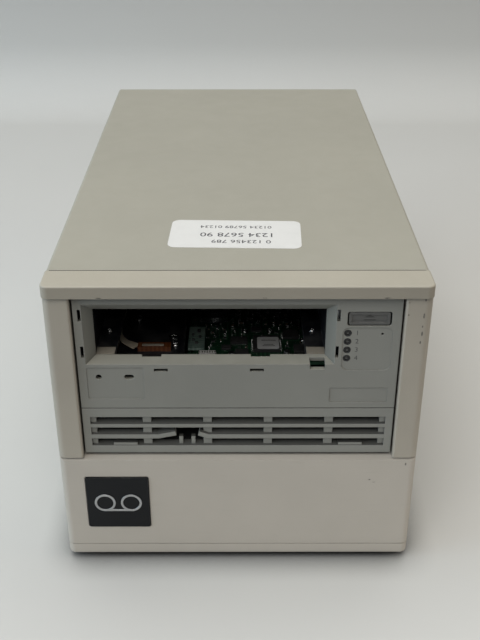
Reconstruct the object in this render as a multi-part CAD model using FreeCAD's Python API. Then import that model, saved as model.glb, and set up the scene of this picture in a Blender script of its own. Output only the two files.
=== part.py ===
import FreeCAD, Part
import math
import os

# Free-standing data tape drive: a single-bay 5.25-inch cartridge drive in a small desktop enclosure.
# Millimetres. Origin on the floor under the middle of the enclosure, +X to the right seen from
# the front, +Y towards the rear, +Z up. The front faces -Y.

Vec = FreeCAD.Vector
X_AXIS = Vec(1, 0, 0)
Y_AXIS = Vec(0, 1, 0)
Z_AXIS = Vec(0, 0, 1)

# ---------------------------------------------------------------- clearances
seat_gap = 0.3        # between neighbouring mouldings and sheets
run_gap = 0.06        # radial, shaft in a running bore
move_gap = 0.4        # between a moving piece and what it passes

# ---------------------------------------------------------------- enclosure
body_width = 173.8
body_depth = 319.2
sheet = 1.2
foot_height = 3.0
foot_radius = 8.0
foot_inset = 18.0
foot_setback = 28.0
front_depth = 16.2
front_corner = 3.6
moulding_wall = 2.4
cap_height = 6.1
cap_round = 0.9
panel_setback = 1.7   # pillars and lower panel behind the cap's front
pillar_width = 12.15
lower_panel_height = 61.0
ledge_drop = 1.0
ledge_depth = 3.0
groove_height = 6.6
groove_size = 0.4
panel_bottom_round = 2.0
rib_thickness = 1.6
rib_spacing = 42.0
badge_size = 31.0
badge_inset = 11.9
badge_lift = 18.6
badge_thickness = 1.2
badge_pocket = 0.7
badge_corner = 1.2
cover_bend = 1.8
cover_drop = 0.3      # the sheet cover lies this far below the cap's top
cover_screw_head = 0.8
rear_rim = 6.0
rear_recess = 8.0
tray_flange = 12.0

# ---------------------------------------------------------------- drive, outside
drive_height = 82.6
drive_depth = 224.0
bezel_lip = 0.85
bezel_reveal = 1.8
side_reveal = 0.9
bezel_recess = 4.2
bezel_plate = 2.6
bezel_return = 8.0
bezel_wall = 2.0
bezel_split = 25.9
mouth_side = 3.85     # left edge of the bezel to the mouth
control_width = 29.35 # mouth to the right edge of the bezel
mouth_low = 50.0
mouth_high = 81.2
throat_side_step = 3.9
throat_low_step = 0.8
throat_high_step = 6.4
latch_width = 1.4
latch_height = 6.0
latch_low = 53.6
latch_high = 72.6
sill_notch_width = 9.0
sill_notch_offsets = (-27.4, 23.4)   # from the mouth's middle
vent_slot_width = 6.4
vent_slot_height = 1.5
vent_slot_low = 46.2
vent_slot_offsets = (-22.75, 21.65)  # from the mouth's middle
sensor_window_inset = 7.7            # from the mouth's right edge
sensor_window_width = 7.0
sensor_window_low = 47.2
sensor_window_depth = 5.5
pad_recess = 0.35
left_pad_width = 26.4
left_pad_rows = (31.1, 48.2)
lamp_pad_columns = (26.25, 3.65)     # from the bezel's right edge
lamp_pad_rows = (46.9, 69.3)
name_pad_columns = (30.95, 3.85)     # from the bezel's right edge
name_pad_rows = (29.2, 37.1)
round_hole_inset = 5.5               # from the mouth's left edge
round_hole_radius = 1.35
oval_hole_inset = 19.6               # from the mouth's left edge
oval_hole_width = 4.6
oval_hole_height = 2.5
hole_row_height = 43.0
button_inset = 14.55                 # from the bezel's right edge
button_low = 70.3
button_width = 20.0
button_height = 7.2
button_gap = 0.7
button_travel = 1.5
button_length = 7.0
button_dish = 0.6
lamp_inset = 23.95                   # from the bezel's right edge
lamp_first = 53.2
lamp_pitch = 4.4
lamp_count = 4
lamp_hole_radius = 1.45
lamp_radius = 1.05
front_board_height = 44.0
front_board_top = 79.0
reset_hole_inset = 8.25              # from the bezel's right edge
reset_hole_height = 65.9
reset_hole_radius = 0.6

# ---------------------------------------------------------------- grille
grille_edge = 3.6
grille_low = 4.2
slot_height = 4.05
slat_heights = (2.4, 2.0)
slat_depth = 3.6
slat_rise = 1.0
end_rib_width = 2.65
divider_width = 4.1
divider_setback = 1.3
divider_count = 4
slot_tab_width = 11.5
slot_tab_height = 1.4
slot_tab_inset = 19.65               # from the bezel's edges
break_insets = (35.85, 59.55)        # ends of the snapped slat, from the bezel's left edge
stub_lengths = (8.7, 5.2)
stub_angles = (12.0, 20.0)
rib_stub_insets = (46.5, 52.4)       # from the bezel's left edge
rib_stub_width = 1.9
rib_stub_rise = 0.4
rib_remnant_height = 1.0

# ---------------------------------------------------------------- drive, inside
chassis_wall = 1.5
chassis_top = 1.0
board_height = 25.8
board_thickness = 1.6
board_front = 39.0
board_inset = 45.5                   # from the drive's left wall
board_step = 97.0
board_rear_gap = 18.0
deck_height = 33.2
deck_thickness = 3.0
deck_front = 11.0
deck_right_front = 85.0
deck_board_gap = 1.0
deck_collar = 13.0
post_radius = 3.0
pin_radius = 1.5
hub_y = 88.0
hub_radius = 9.0
hub_height = 2.4
spline_radius = 6.0
spline_height = 4.5
spline_teeth = 8
motor_height = 5.2
reel_motor_radius = 10.5
take_up_motor_radius = 22.0
motor_boss = 5.0
motor_shaft = 2.0
reel_y = 162.0
reel_gap = 4.3        # reel to the head block
reel_core = 20.0
reel_height = 18.0
reel_flange = 1.0
carriage_front = 10.0
carriage_length = 87.0
carriage_travel = 20.0
carriage_sheet = 1.6
carriage_arm = 1.2
carriage_ledge = 9.2
carriage_top = 73.2
carriage_drop = 1.2
carriage_bar = 4.0
pad_length = 6.0
pad_width = 8.7
pad_height = 0.8
rail_width = 3.2
rail_height = 8.0
rail_web = 0.8
rail_low = 55.2
rail_length = 108.0
rail_leg = 22.0
shoe_length = 30.0
gear_module = 1.0
gear_teeth = 16
gear_width = 4.0
tooth_thickness = 1.0
rack_length = 46.0
loader_motor_radius = 9.5
loader_motor_height = 14.0
bracket_half = 11.0
roller_radius = 5.0
roller_flange = 6.0
roller_height = 16.0
roller_inset = 9.0    # from the drive's left wall
# Distance of each deck screw from the drive's left wall and from the bezel.
deck_screw_places = ((19.5, 66.0), (38.8, 46.0), (7.5, 30.0))
roller_y = (131.0, 187.0)
head_width = 11.0
head_length = 20.0
head_height = 16.0
head_travel = 6.0
head_inset = 7.0      # from the drive's left wall
head_y = 159.0
screw_radius = 1.8
arm_inset = 23.5      # from the drive's right wall
arm_y = 127.0
arm_length = 34.0
arm_width = 6.0
arm_thickness = 2.4
flex_radius = 48.0
flex_height = 5.0
flex_thickness = 0.8
film_width = 16.5
film_length = 5.0
film_height = 2.4
drive_fan_size = 40.0
drive_fan_depth = 10.0
data_plug_width = 50.0
power_plug_width = 22.0
plug_height = 10.0
plug_depth = 30.0
plug_proud = 5.0

# ---------------------------------------------------------------- rear and inside of the enclosure
shelf_leg_inset = 6.5
shelf_length = 226.0
shelf_foot = 4.0
bracket_height = 30.0
bracket_length = 160.0
machine_screw = 1.5
machine_head = 2.7
head_thickness = 1.6
supply_gap = 6.1         # from the rocker frame's lip
supply_depth = 196.0
supply_height = 50.0
fan_size = 60.0
fan_depth = 20.0
fan_x = -38.0
fan_lift = 104.0
guard_ring = 4.2
guard_pitch = 7.0
guard_first = 9.0
guard_spoke = 3.0
port_x = 38.0
port_lifts = (122.0, 104.0)
port_width = 46.0
port_height = 8.4
port_depth = 12.0
port_shell = 5.0
port_plate = 64.0
jack_spacing = 54.0
jack_radius = 2.7
switch_x = 38.0
switch_lift = 78.0
switch_width = 10.0
switch_height = 26.0
switch_depth = 14.0
switch_flange = 1.5
key_width = 5.0
key_height = 4.0
key_spacing = 18.0
key_travel = 1.2
key_proud = 2.0
wheel_radius = 5.2
wheel_width = 3.6
inlet_x = 50.0
inlet_lift = 32.0
inlet_width = 27.0
inlet_height = 20.0
inlet_depth = 18.0
inlet_wall = 1.5
inlet_flange_width = 46.0
inlet_flange = 2.0
blade_recess = 5.2
rocker_x = 12.0
rocker_width = 17.0
rocker_height = 11.0
rocker_tilt = 8.0
rocker_frame = 2.0
rocker_lip = 1.5
lead_radius = 3.0
lead_inset = 8.0         # from the supply's right side
lead_bend_share = 0.6    # bend radius as a share of the run from the drive's plug
ribbon_width = 44.0
ribbon_thickness = 1.2
ribbon_bend = 6.0

# ---------------------------------------------------------------- derived planes
front_y = -body_depth / 2
rear_y = body_depth / 2
half_width = body_width / 2
base_z = foot_height
panel_top = base_z + lower_panel_height
bezel_z = panel_top + bezel_reveal
bezel_height = drive_height + 2 * bezel_lip
fascia_half = half_width - pillar_width
bezel_half = fascia_half - side_reveal
drive_half = bezel_half - bezel_lip
cap_low = bezel_z + bezel_height + bezel_reveal
top_z = cap_low + cap_height
cover_top = top_z - cover_drop
face_y = front_y + panel_setback
front_back = front_y + front_depth
bezel_y = front_y + bezel_recess
cover_front = front_back + 2 * seat_gap
inner_half = half_width - sheet - seat_gap
frame_back = front_back + sheet
tray_top = base_z + sheet
panel_out = rear_y - rear_recess
panel_in = panel_out - sheet
drive_front = bezel_y + bezel_return + seat_gap
drive_rear = drive_front + drive_depth
drive_low = bezel_z + bezel_lip
drive_high = drive_low + drive_height
floor_top = drive_low + chassis_wall
wall_half = drive_half - chassis_wall
board_z = bezel_z + board_height
board_top = board_z + board_thickness
board_end = drive_rear - board_rear_gap
deck_z = bezel_z + deck_height
deck_top = deck_z + deck_thickness
shelf_top = drive_low - seat_gap
supply_left = -half_width + shelf_leg_inset + shelf_foot + seat_gap
supply_width = rocker_x - rocker_width / 2 - rocker_frame - rocker_lip - supply_gap - supply_left
plug_end = drive_rear + plug_proud
deck_end = plug_end - plug_depth - seat_gap
mouth_left = -bezel_half + mouth_side
mouth_right = bezel_half - control_width
mouth_middle = (mouth_left + mouth_right) / 2
left_pad = (mouth_left, mouth_left + left_pad_width) + left_pad_rows
lamp_pad = (bezel_half - lamp_pad_columns[0], bezel_half - lamp_pad_columns[1]) + lamp_pad_rows
name_pad = (bezel_half - name_pad_columns[0], bezel_half - name_pad_columns[1]) + name_pad_rows
button_x = bezel_half - button_inset
lamp_x = bezel_half - lamp_inset
hub_x = mouth_middle
board_left = -wall_half + board_inset
deck_tongue = board_left - deck_board_gap
roller_x = -wall_half + roller_inset
head_x = -wall_half + head_inset
arm_x = wall_half - arm_inset
reel_radius = hub_x - head_x - head_width / 2 - reel_gap
throat_left = mouth_left + throat_side_step
throat_right = mouth_right - throat_side_step
throat_low = bezel_z + mouth_low + throat_low_step
throat_high = bezel_z + mouth_high - throat_high_step
carriage_y0 = bezel_y + carriage_front
carriage_y1 = carriage_y0 + carriage_length
ledge_top = throat_low - carriage_drop
ledge_low = ledge_top - carriage_sheet
arm_left = throat_left - move_gap
arm_right = throat_right + move_gap
pitch_radius = gear_module * gear_teeth / 2
hub_place = Vec(hub_x, bezel_y + hub_y, 0)
reel_place = Vec(hub_x, bezel_y + reel_y, 0)


# ---------------------------------------------------------------- helpers
def box(x0, x1, y0, y1, z0, z1):
    """Box between two corners."""
    return Part.makeBox(x1 - x0, y1 - y0, z1 - z0, Vec(x0, y0, z0))


def rod(radius, length, x, y, z, axis=Z_AXIS):
    """Solid cylinder from a base point along an axis."""
    return Part.makeCylinder(radius, length, Vec(x, y, z), axis)


def ring(outer, inner, length, x, y, z, axis=Z_AXIS):
    """Tube from a base point along an axis."""
    return rod(outer, length, x, y, z, axis).cut(rod(inner, length, x, y, z, axis))


def edges_along(shape, axis, keep=None):
    """Straight edges of a shape that run along an axis and pass the keep test on their middle."""
    found = []
    for edge in shape.Edges:
        if not isinstance(edge.Curve, Part.Line):
            continue
        direction = edge.Vertexes[1].Point.sub(edge.Vertexes[0].Point).normalize()
        middle = edge.CenterOfMass
        if abs(direction.dot(axis)) > 0.999 and (keep is None or keep(middle)):
            found.append(edge)
    return found


def rounded(shape, radius, axis, keep=None):
    """Shape with the edges along an axis rounded."""
    return shape.makeFillet(radius, edges_along(shape, axis, keep))


def plate(x0, x1, y0, y1, z0, z1, corner):
    """Upright plate, facing the front, with rounded corners."""
    return rounded(box(x0, x1, y0, y1, z0, z1), corner, Y_AXIS)


def prism(points, direction):
    """Closed outline of points, extruded along a direction."""
    wire = Part.makePolygon(points + [points[0]])
    return Part.Face(wire).extrude(direction)


def lathe(profile, place):
    """Solid of revolution about the upright axis through a place, from (radius, height) points."""
    points = [Vec(r, 0, h) for r, h in profile]
    face = Part.Face(Part.makePolygon(points + [points[0]]))
    solid = face.revolve(Vec(0, 0, 0), Z_AXIS, 360)
    solid.translate(place)
    return solid


def union(shapes):
    """One solid from touching shapes."""
    return shapes[0].multiFuse(shapes[1:]).removeSplitter()


def group(shapes):
    """Separate solids kept in one node."""
    return Part.makeCompound(shapes)


def mirrored(shape):
    """Copy of a shape on the other side of the middle plane."""
    return shape.mirror(Vec(0, 0, 0), X_AXIS)


# ---------------------------------------------------------------- moulded front
def front_block(inset, z0, z1, half, y0):
    """Front moulding's outer block with rounded upright front corners, inset all round."""
    block = box(-half + inset, half - inset, y0 + inset, front_back, z0, z1)
    corner = front_corner - inset
    return rounded(block, corner, Z_AXIS, lambda p: p.y < y0 + inset + 0.01)


def front_cap():
    """Cap strip across the top of the front, hollow below, with a rounded top edge."""
    half = half_width
    outer = front_block(0, cap_low, top_z, half, front_y)
    top_edges = [e for e in outer.Edges
                 if abs(e.BoundBox.ZMin - top_z) < 0.01 and e.BoundBox.YMin < front_back - 0.1
                 and not (e.BoundBox.YMin > front_back - 0.01)]
    front_edges = [e for e in top_edges if e.BoundBox.YMax < front_back - 0.01
                   or abs(e.BoundBox.XMax - e.BoundBox.XMin) < 0.01]
    outer = outer.makeFillet(cap_round, front_edges)
    pocket = box(-half + moulding_wall, half - moulding_wall, front_y + moulding_wall,
                 front_back, cap_low, top_z - moulding_wall)
    return outer.cut(pocket)


def pillar():
    """Right side pillar: a channel moulding with a rounded outer edge and a small inner chamfer."""
    z0 = panel_top + seat_gap
    z1 = cap_low - seat_gap
    column = front_block(0, z0, z1, half_width, face_y)
    column = column.common(box(fascia_half, half_width, front_y, front_back, z0, z1))
    hollow = front_block(moulding_wall, z0 + moulding_wall, z1 - moulding_wall, half_width, face_y)
    hollow = hollow.common(box(fascia_half + moulding_wall, half_width, front_y, front_back, z0, z1))
    chamfer = prism([Vec(fascia_half, face_y, z0), Vec(fascia_half + 0.7, face_y, z0),
                     Vec(fascia_half, face_y + 0.7, z0)], Vec(0, 0, z1 - z0))
    return column.cut(hollow).cut(chamfer)


def badge_place():
    """Left, right, low and high limits of the badge."""
    left = -half_width + badge_inset
    low = base_z + badge_lift
    return left, left + badge_size, low, low + badge_size


def lower_front_panel():
    """Lower front moulding: sloped ledge on top, groove near the bottom, ribs and a badge pocket."""
    outer = front_block(0, base_z, panel_top, half_width, face_y)
    outer = rounded(outer, panel_bottom_round, X_AXIS,
                    lambda p: p.y < face_y + 0.01 and p.z < base_z + 0.01)
    slope = prism([Vec(-half_width, face_y, panel_top), Vec(-half_width, face_y, panel_top - ledge_drop),
                   Vec(-half_width, face_y + ledge_depth, panel_top)], Vec(body_width, 0, 0))
    slot_low = base_z + groove_height
    groove = front_block(0, slot_low, slot_low + groove_size, half_width, face_y)
    groove = groove.cut(front_block(groove_size, slot_low, slot_low + groove_size, half_width, face_y))
    pocket = front_block(moulding_wall, base_z + moulding_wall, panel_top - moulding_wall,
                         half_width, face_y)
    left, right, low, high = badge_place()
    seat = plate(left - seat_gap, right + seat_gap, face_y - 1, face_y + badge_pocket,
                 low - seat_gap, high + seat_gap, badge_corner)
    shell = outer.cut(slope).cut(groove).cut(pocket).cut(seat)
    ribs = [box(x - rib_thickness / 2, x + rib_thickness / 2, face_y + moulding_wall, front_back,
                base_z + moulding_wall, panel_top - moulding_wall)
            for x in (-rib_spacing, 0, rib_spacing)]
    return union([shell] + ribs)


def badge_plate():
    """Square badge plate in its pocket, left bare."""
    left, right, low, high = badge_place()
    back = face_y + badge_pocket
    return plate(left, right, back - badge_thickness, back, low, high, badge_corner)


# ---------------------------------------------------------------- sheet-metal enclosure
def cover_screw_places():
    """Places of the four cover screws, two on each side."""
    z = base_z + tray_flange / 2 + sheet
    return [(side, y, z) for side in (-1, 1) for y in (front_y + 45, rear_y - 30)]


def top_cover():
    """Bent sheet cover with rounded bends and a turned-in rim at the rear."""
    under = cover_top - sheet
    outer = box(-half_width, half_width, cover_front, rear_y, base_z, cover_top)
    outer = rounded(outer, cover_bend, Y_AXIS, lambda p: p.z > cover_top - 0.01)
    inner = box(-half_width + sheet, half_width - sheet, cover_front, rear_y, base_z, under)
    inner = rounded(inner, cover_bend - sheet, Y_AXIS, lambda p: p.z > under - 0.01)
    rim = box(-half_width + sheet, half_width - sheet, rear_y - sheet, rear_y, tray_top + seat_gap, under)
    rim = rim.cut(box(-half_width + rear_rim, half_width - rear_rim, rear_y - sheet, rear_y,
                      base_z, cover_top - rear_rim))
    holes = [rod(machine_screw + run_gap, 3 * sheet, side * (half_width + sheet), y, z, X_AXIS * -side)
             for side, y, z in cover_screw_places()]
    return union([outer.cut(inner), rim]).cut(group(holes))


def top_corners_rounded(panel):
    """Upright sheet whose upper corners follow the cover's bends."""
    high = panel.BoundBox.ZMax
    return rounded(panel, cover_bend, Y_AXIS, lambda p: p.z > high - 0.01 and abs(p.x) > inner_half - 0.01)


def front_frame():
    """Sheet frame behind the mouldings, with the opening for the drive."""
    sheet_up = top_corners_rounded(box(-inner_half, inner_half, front_back, frame_back, base_z,
                                       cover_top - sheet - seat_gap))
    hole = box(-drive_half - 1, drive_half + 1, front_back, frame_back, drive_low - 1, drive_high + 1)
    return sheet_up.cut(hole)


def base_tray():
    """Folded floor tray with side flanges."""
    floor = box(-inner_half, inner_half, frame_back, rear_y - sheet - seat_gap, base_z, tray_top)
    sides = []
    for side in (-1, 1):
        outer = side * inner_half
        inner = side * (inner_half - sheet)
        sides.append(box(min(outer, inner), max(outer, inner), frame_back, panel_in,
                         tray_top, tray_top + tray_flange))
    holes = [rod(machine_screw + run_gap, 4 * sheet, side * (half_width + sheet), y, z, X_AXIS * -side)
             for side, y, z in cover_screw_places()]
    return union([floor] + sides).cut(group(holes))


def rubber_feet():
    """Four round feet under the corners of the tray."""
    profile = [(0, 0), (foot_radius - 1.2, 0), (foot_radius - 0.6, 0.5), (foot_radius, foot_height),
               (0, foot_height)]
    places = [Vec(x, y, 0) for x in (-half_width + foot_inset, half_width - foot_inset)
              for y in (front_y + foot_setback, rear_y - foot_setback)]
    return group([lathe(profile, place) for place in places])


def fan_bolt_places(size):
    """Offsets of a fan's four corner screws from its centre."""
    reach = size / 2 - 5.0
    return [(i * reach, k * reach) for i in (-1, 1) for k in (-1, 1)]


def guard_slots():
    """Ring slots of the stamped finger guard, as one cutting shape."""
    z = base_z + fan_lift
    rings = []
    for step in range(3):
        inner = guard_first + step * guard_pitch
        rings.append(ring(inner + guard_ring, inner, sheet, fan_x, panel_in, z, Y_AXIS))
    reach = fan_size
    spokes = []
    for angle in (45, 135):
        bar = box(-reach, reach, panel_in, panel_out, -guard_spoke / 2, guard_spoke / 2)
        bar.rotate(Vec(0, 0, 0), Y_AXIS, angle)
        bar.translate(Vec(fan_x, 0, z))
        spokes.append(bar)
    return group(rings).cut(group(spokes))


def rear_panel():
    """Recessed rear panel with a stamped fan guard and the cut-outs of the rear fittings."""
    high = cover_top - sheet - seat_gap
    panel = box(-inner_half, inner_half, panel_in, panel_out, tray_top, high)
    flanges = [box(min(a, b), max(a, b), panel_in - tray_flange, panel_in,
                   tray_top + tray_flange + seat_gap, high)
               for a, b in ((-inner_half, -inner_half + sheet), (inner_half - sheet, inner_half))]
    panel = top_corners_rounded(union([panel] + flanges))
    cuts = [guard_slots()]
    for lift in port_lifts:
        z = base_z + lift
        cuts.append(box(port_x - port_width / 2 - seat_gap, port_x + port_width / 2 + seat_gap,
                        panel_in, panel_out, z - port_height / 2 - seat_gap, z + port_height / 2 + seat_gap))
        for side in (-1, 1):
            cuts.append(rod(machine_screw + run_gap, sheet, port_x + side * jack_spacing / 2,
                            panel_in, z, Y_AXIS))
    z = base_z + switch_lift
    cuts.append(box(switch_x - switch_width / 2 - seat_gap, switch_x + switch_width / 2 + seat_gap,
                    panel_in, panel_out, z - switch_height / 2 - seat_gap,
                    z + switch_height / 2 + seat_gap))
    z = base_z + inlet_lift
    cuts.append(box(inlet_x - inlet_width / 2 - seat_gap, inlet_x + inlet_width / 2 + seat_gap,
                    panel_in, panel_out, z - inlet_height / 2 - seat_gap,
                    z + inlet_height / 2 + seat_gap))
    reach_x = rocker_width / 2 + rocker_frame
    reach_z = rocker_height / 2 + rocker_frame
    cuts.append(box(rocker_x - reach_x - seat_gap, rocker_x + reach_x + seat_gap, panel_in, panel_out,
                    z - reach_z - seat_gap, z + reach_z + seat_gap))
    for x, z_screw in panel_screw_places():
        cuts.append(rod(machine_screw + run_gap, sheet, x, panel_in, z_screw, Y_AXIS))
    count = int((supply_width - 12) // 7)
    for step in range(count):
        x = supply_left + 8 + step * 7
        cuts.append(box(x, x + 3.4, panel_in, panel_out, tray_top + 10, tray_top + supply_height - 10))
    return panel.cut(group(cuts))


def panel_screw_places():
    """Places on the rear panel of the fan's and the inlet's screws."""
    fan = [(fan_x + i, base_z + fan_lift + k) for i, k in fan_bolt_places(fan_size)]
    reach = inlet_flange_width / 2 - 4.0
    inlet = [(inlet_x + i, base_z + inlet_lift) for i in (-reach, reach)]
    return fan + inlet


def screw(place, axis, length):
    """Pan-head screw whose head rests on a face at place, with its shank along axis."""
    head = rod(machine_head, head_thickness, 0, 0, -head_thickness)
    shank = rod(machine_screw, length, 0, 0, 0)
    solid = union([head, shank])
    solid.Placement = FreeCAD.Placement(place, FreeCAD.Rotation(Z_AXIS, axis))
    return solid


def bracket_screw_places():
    """Places of the screws through the side brackets into the drive."""
    z = drive_low + bracket_height * 0.6
    reach = bracket_length / 2 - 14
    middle = (drive_front + drive_rear) / 2
    return [(side, middle + step * reach, z) for side in (-1, 1) for step in (-1, 1)]


def enclosure_screws():
    """Cover, rear-panel and drive-bracket screws as separate solids."""
    screws = []
    for side, y, z in cover_screw_places():
        head = rod(machine_head, cover_screw_head, side * half_width, y, z, X_AXIS * side)
        shank = rod(machine_screw, 3 * sheet, side * half_width, y, z, X_AXIS * -side)
        screws.append(union([head, shank]))
    inlet_z = base_z + inlet_lift
    for x, z in panel_screw_places():
        on_inlet = abs(z - inlet_z) < 0.01
        y = panel_out + (inlet_flange if on_inlet else 0)
        screws.append(screw(Vec(x, y, z), Y_AXIS * -1, 5.0))
    for side, y, z in bracket_screw_places():
        x = side * (drive_half + seat_gap + sheet)
        screws.append(screw(Vec(x, y, z), X_AXIS * -side, sheet + seat_gap + chassis_wall))
    return group(screws)


# ---------------------------------------------------------------- rear fittings
def fan_frame(size, depth, x, y, z):
    """Square fan frame with its bore, corner holes and a motor seat on three struts at the rear."""
    half = size / 2
    bore = half - 2.0
    seat = size * 0.2
    body = rounded(box(x - half, x + half, y, y + depth, z - half, z + half), 3.0, Y_AXIS)
    body = body.cut(rod(bore, depth, x, y, z, Y_AXIS))
    holes = [rod(machine_screw + run_gap, depth, x + i, y, z + k, Y_AXIS) for i, k in fan_bolt_places(size)]
    pieces = [body.cut(group(holes)), rod(seat, 1.6, x, y + depth - 1.6, z, Y_AXIS)]
    for angle in (30, 150, 270):
        strut = box(0, bore + 0.5, y + depth - 1.6, y + depth, -1.2, 1.2)
        strut.rotate(Vec(0, 0, 0), Y_AXIS, angle)
        strut.translate(Vec(x, 0, z))
        pieces.append(strut)
    return union(pieces)


def fan_rotor(size, depth, x, y, z, blades):
    """Fan rotor: hub with pitched blades, clear of the frame's bore and motor seat."""
    hub = size * 0.21
    tip = size / 2 - 3.0
    length = depth - 1.6 - 2 * move_gap
    low = y + move_gap
    pieces = [rod(hub, length, x, low, z, Y_AXIS)]
    chord = min(length * 0.8, 11.0)
    for step in range(blades):
        blade = box(hub - 1.0, tip, -chord / 2, chord / 2, -0.6, 0.6)
        blade.rotate(Vec(0, 0, 0), X_AXIS, 48)
        blade.rotate(Vec(0, 0, 0), Y_AXIS, 360 / blades * step)
        blade.translate(Vec(x, low + length / 2, z))
        pieces.append(blade)
    return union(pieces)


def data_ports():
    """Two wide data sockets: mounting plate, keystone-shaped metal shell and slotted insert."""
    ports = []
    for lift in port_lifts:
        z = base_z + lift
        half = port_width / 2
        tall = port_height / 2
        back = box(port_x - port_plate / 2, port_x + port_plate / 2, panel_in - 1.0, panel_in,
                   z - 5.5, z + 5.5)
        holes = [rod(machine_screw + run_gap, 1.0, port_x + side * jack_spacing / 2, panel_in - 1.0,
                     z, Y_AXIS) for side in (-1, 1)]
        body = box(port_x - half + 1, port_x + half - 1, panel_in - port_depth, panel_in,
                   z - tall, z + tall)
        outline = [Vec(port_x - half, panel_in, z + tall), Vec(port_x + half, panel_in, z + tall),
                   Vec(port_x + half - 2.5, panel_in, z - tall), Vec(port_x - half + 2.5, panel_in, z - tall)]
        shell = prism(outline, Vec(0, sheet + port_shell, 0))
        slot = box(port_x - half + 5, port_x + half - 5, panel_out + port_shell - 2.5,
                   panel_out + port_shell, z - 0.9, z + 0.9)
        ports.append(union([back.cut(group(holes)), body, shell]).cut(slot))
    return group(ports)


def port_jackscrews():
    """Hexagonal jackscrews beside the data sockets."""
    posts = []
    for lift in port_lifts:
        for side in (-1, 1):
            x = port_x + side * jack_spacing / 2
            z = base_z + lift
            corners = [Vec(x + jack_radius * math.cos(math.radians(60 * k)), panel_out,
                           z + jack_radius * math.sin(math.radians(60 * k))) for k in range(6)]
            hexagon = prism(corners, Vec(0, port_shell, 0))
            shank = rod(machine_screw, sheet + 3.0, x, panel_out - sheet - 3.0, z, Y_AXIS)
            thread = rod(1.2, port_shell - 1.0, x, panel_out + 1.0, z, Y_AXIS)
            posts.append(union([hexagon, shank]).cut(thread))
    return group(posts)


def key_places():
    """Centre heights of the number switch's upper and lower key."""
    middle = base_z + switch_lift
    return middle + key_spacing / 2, middle - key_spacing / 2


def wheel_centre():
    """Depth and height of the number wheel's axis."""
    return panel_out + switch_flange - wheel_radius - 2 * move_gap, base_z + switch_lift


def id_switch_body():
    """Housing of the push-key number switch with its window and key wells."""
    z = base_z + switch_lift
    wide = switch_width / 2
    tall = switch_height / 2
    front = panel_out + switch_flange
    body = union([box(switch_x - wide, switch_x + wide, panel_in - switch_depth, panel_out,
                      z - tall, z + tall),
                  box(switch_x - wide - 1.5, switch_x + wide + 1.5, panel_out, front,
                      z - tall - 1.5, z + tall + 1.5)])
    cuts = []
    for key_z in key_places():
        cuts.append(box(switch_x - key_width / 2 - move_gap, switch_x + key_width / 2 + move_gap,
                        front - 9.5, front, key_z - key_height / 2 - move_gap,
                        key_z + key_height / 2 + move_gap))
    wheel_y, wheel_z = wheel_centre()
    width = wheel_width + 2 * move_gap
    cuts.append(rod(wheel_radius + move_gap, width, switch_x - width / 2, wheel_y, wheel_z, X_AXIS))
    cuts.append(box(switch_x - width / 2, switch_x + width / 2, wheel_y, front, wheel_z - 2.6, wheel_z + 2.6))
    return body.cut(group(cuts))


def id_key(key_z):
    """Push key of the number switch."""
    front = panel_out + switch_flange + key_proud
    length = 9.5 + key_proud - key_travel - move_gap
    key = box(switch_x - key_width / 2, switch_x + key_width / 2, front - length, front,
              key_z - key_height / 2, key_z + key_height / 2)
    return key.makeFillet(0.6, [e for e in key.Edges if e.BoundBox.YMin > front - 0.01])


def id_number_wheel():
    """Ten-sided number wheel behind the switch's window."""
    wheel_y, wheel_z = wheel_centre()
    corners = [Vec(switch_x - wheel_width / 2, wheel_y + wheel_radius * math.cos(math.radians(36 * k + 18)),
                   wheel_z + wheel_radius * math.sin(math.radians(36 * k + 18))) for k in range(10)]
    return prism(corners, Vec(wheel_width, 0, 0))


def power_inlet():
    """Mains inlet: flanged housing with an open socket and three blades."""
    z = base_z + inlet_lift
    half = inlet_width / 2
    tall = inlet_height / 2
    front = panel_out + inlet_flange
    flange = plate(inlet_x - inlet_flange_width / 2, inlet_x + inlet_flange_width / 2, panel_out, front,
                   z - tall - 1.5, z + tall + 1.5, 3.0)
    body = box(inlet_x - half, inlet_x + half, panel_in - inlet_depth, panel_out, z - tall, z + tall)
    cavity = box(inlet_x - half + inlet_wall, inlet_x + half - inlet_wall,
                 panel_in - inlet_depth + 2.5, front, z - tall + inlet_wall, z + tall - inlet_wall)
    cavity = cavity.makeChamfer(3.5, edges_along(cavity, Y_AXIS, lambda p: p.z > z))
    reach = inlet_flange_width / 2 - 4.0
    holes = [rod(machine_screw + run_gap, inlet_flange, inlet_x + i, panel_out, z, Y_AXIS)
             for i in (-reach, reach)]
    tip = front - blade_recess
    root = panel_in - inlet_depth + 1.0
    blades = [box(inlet_x + dx - 1.0, inlet_x + dx + 1.0, root, tip, z + dz - 2.0, z + dz + 2.0)
              for dx, dz in ((-7, -2), (0, 2.5), (7, -2))]
    return union([union([flange, body]).cut(cavity).cut(group(holes))] + blades)


def power_switch_frame():
    """Frame of the rocker switch."""
    z = base_z + inlet_lift
    reach_x = rocker_width / 2 + rocker_frame
    reach_z = rocker_height / 2 + rocker_frame
    front = panel_out + 1.5
    body = box(rocker_x - reach_x, rocker_x + reach_x, panel_in - 14, front, z - reach_z, z + reach_z)
    flange = box(rocker_x - reach_x - rocker_lip, rocker_x + reach_x + rocker_lip, panel_out, front,
                 z - reach_z - rocker_lip, z + reach_z + rocker_lip)
    well = box(rocker_x - rocker_width / 2 - move_gap, rocker_x + rocker_width / 2 + move_gap,
               panel_in - 11, front, z - rocker_height / 2 - move_gap, z + rocker_height / 2 + move_gap)
    pivot = rod(pin_radius + run_gap, rocker_height + 2 * rocker_frame, rocker_x, rocker_axis_y(),
                z - rocker_height / 2 - rocker_frame, Z_AXIS)
    return union([body, flange]).cut(well).cut(pivot)


def rocker_axis_y():
    """Depth of the rocker's pivot."""
    return panel_out - 4.0


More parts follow.
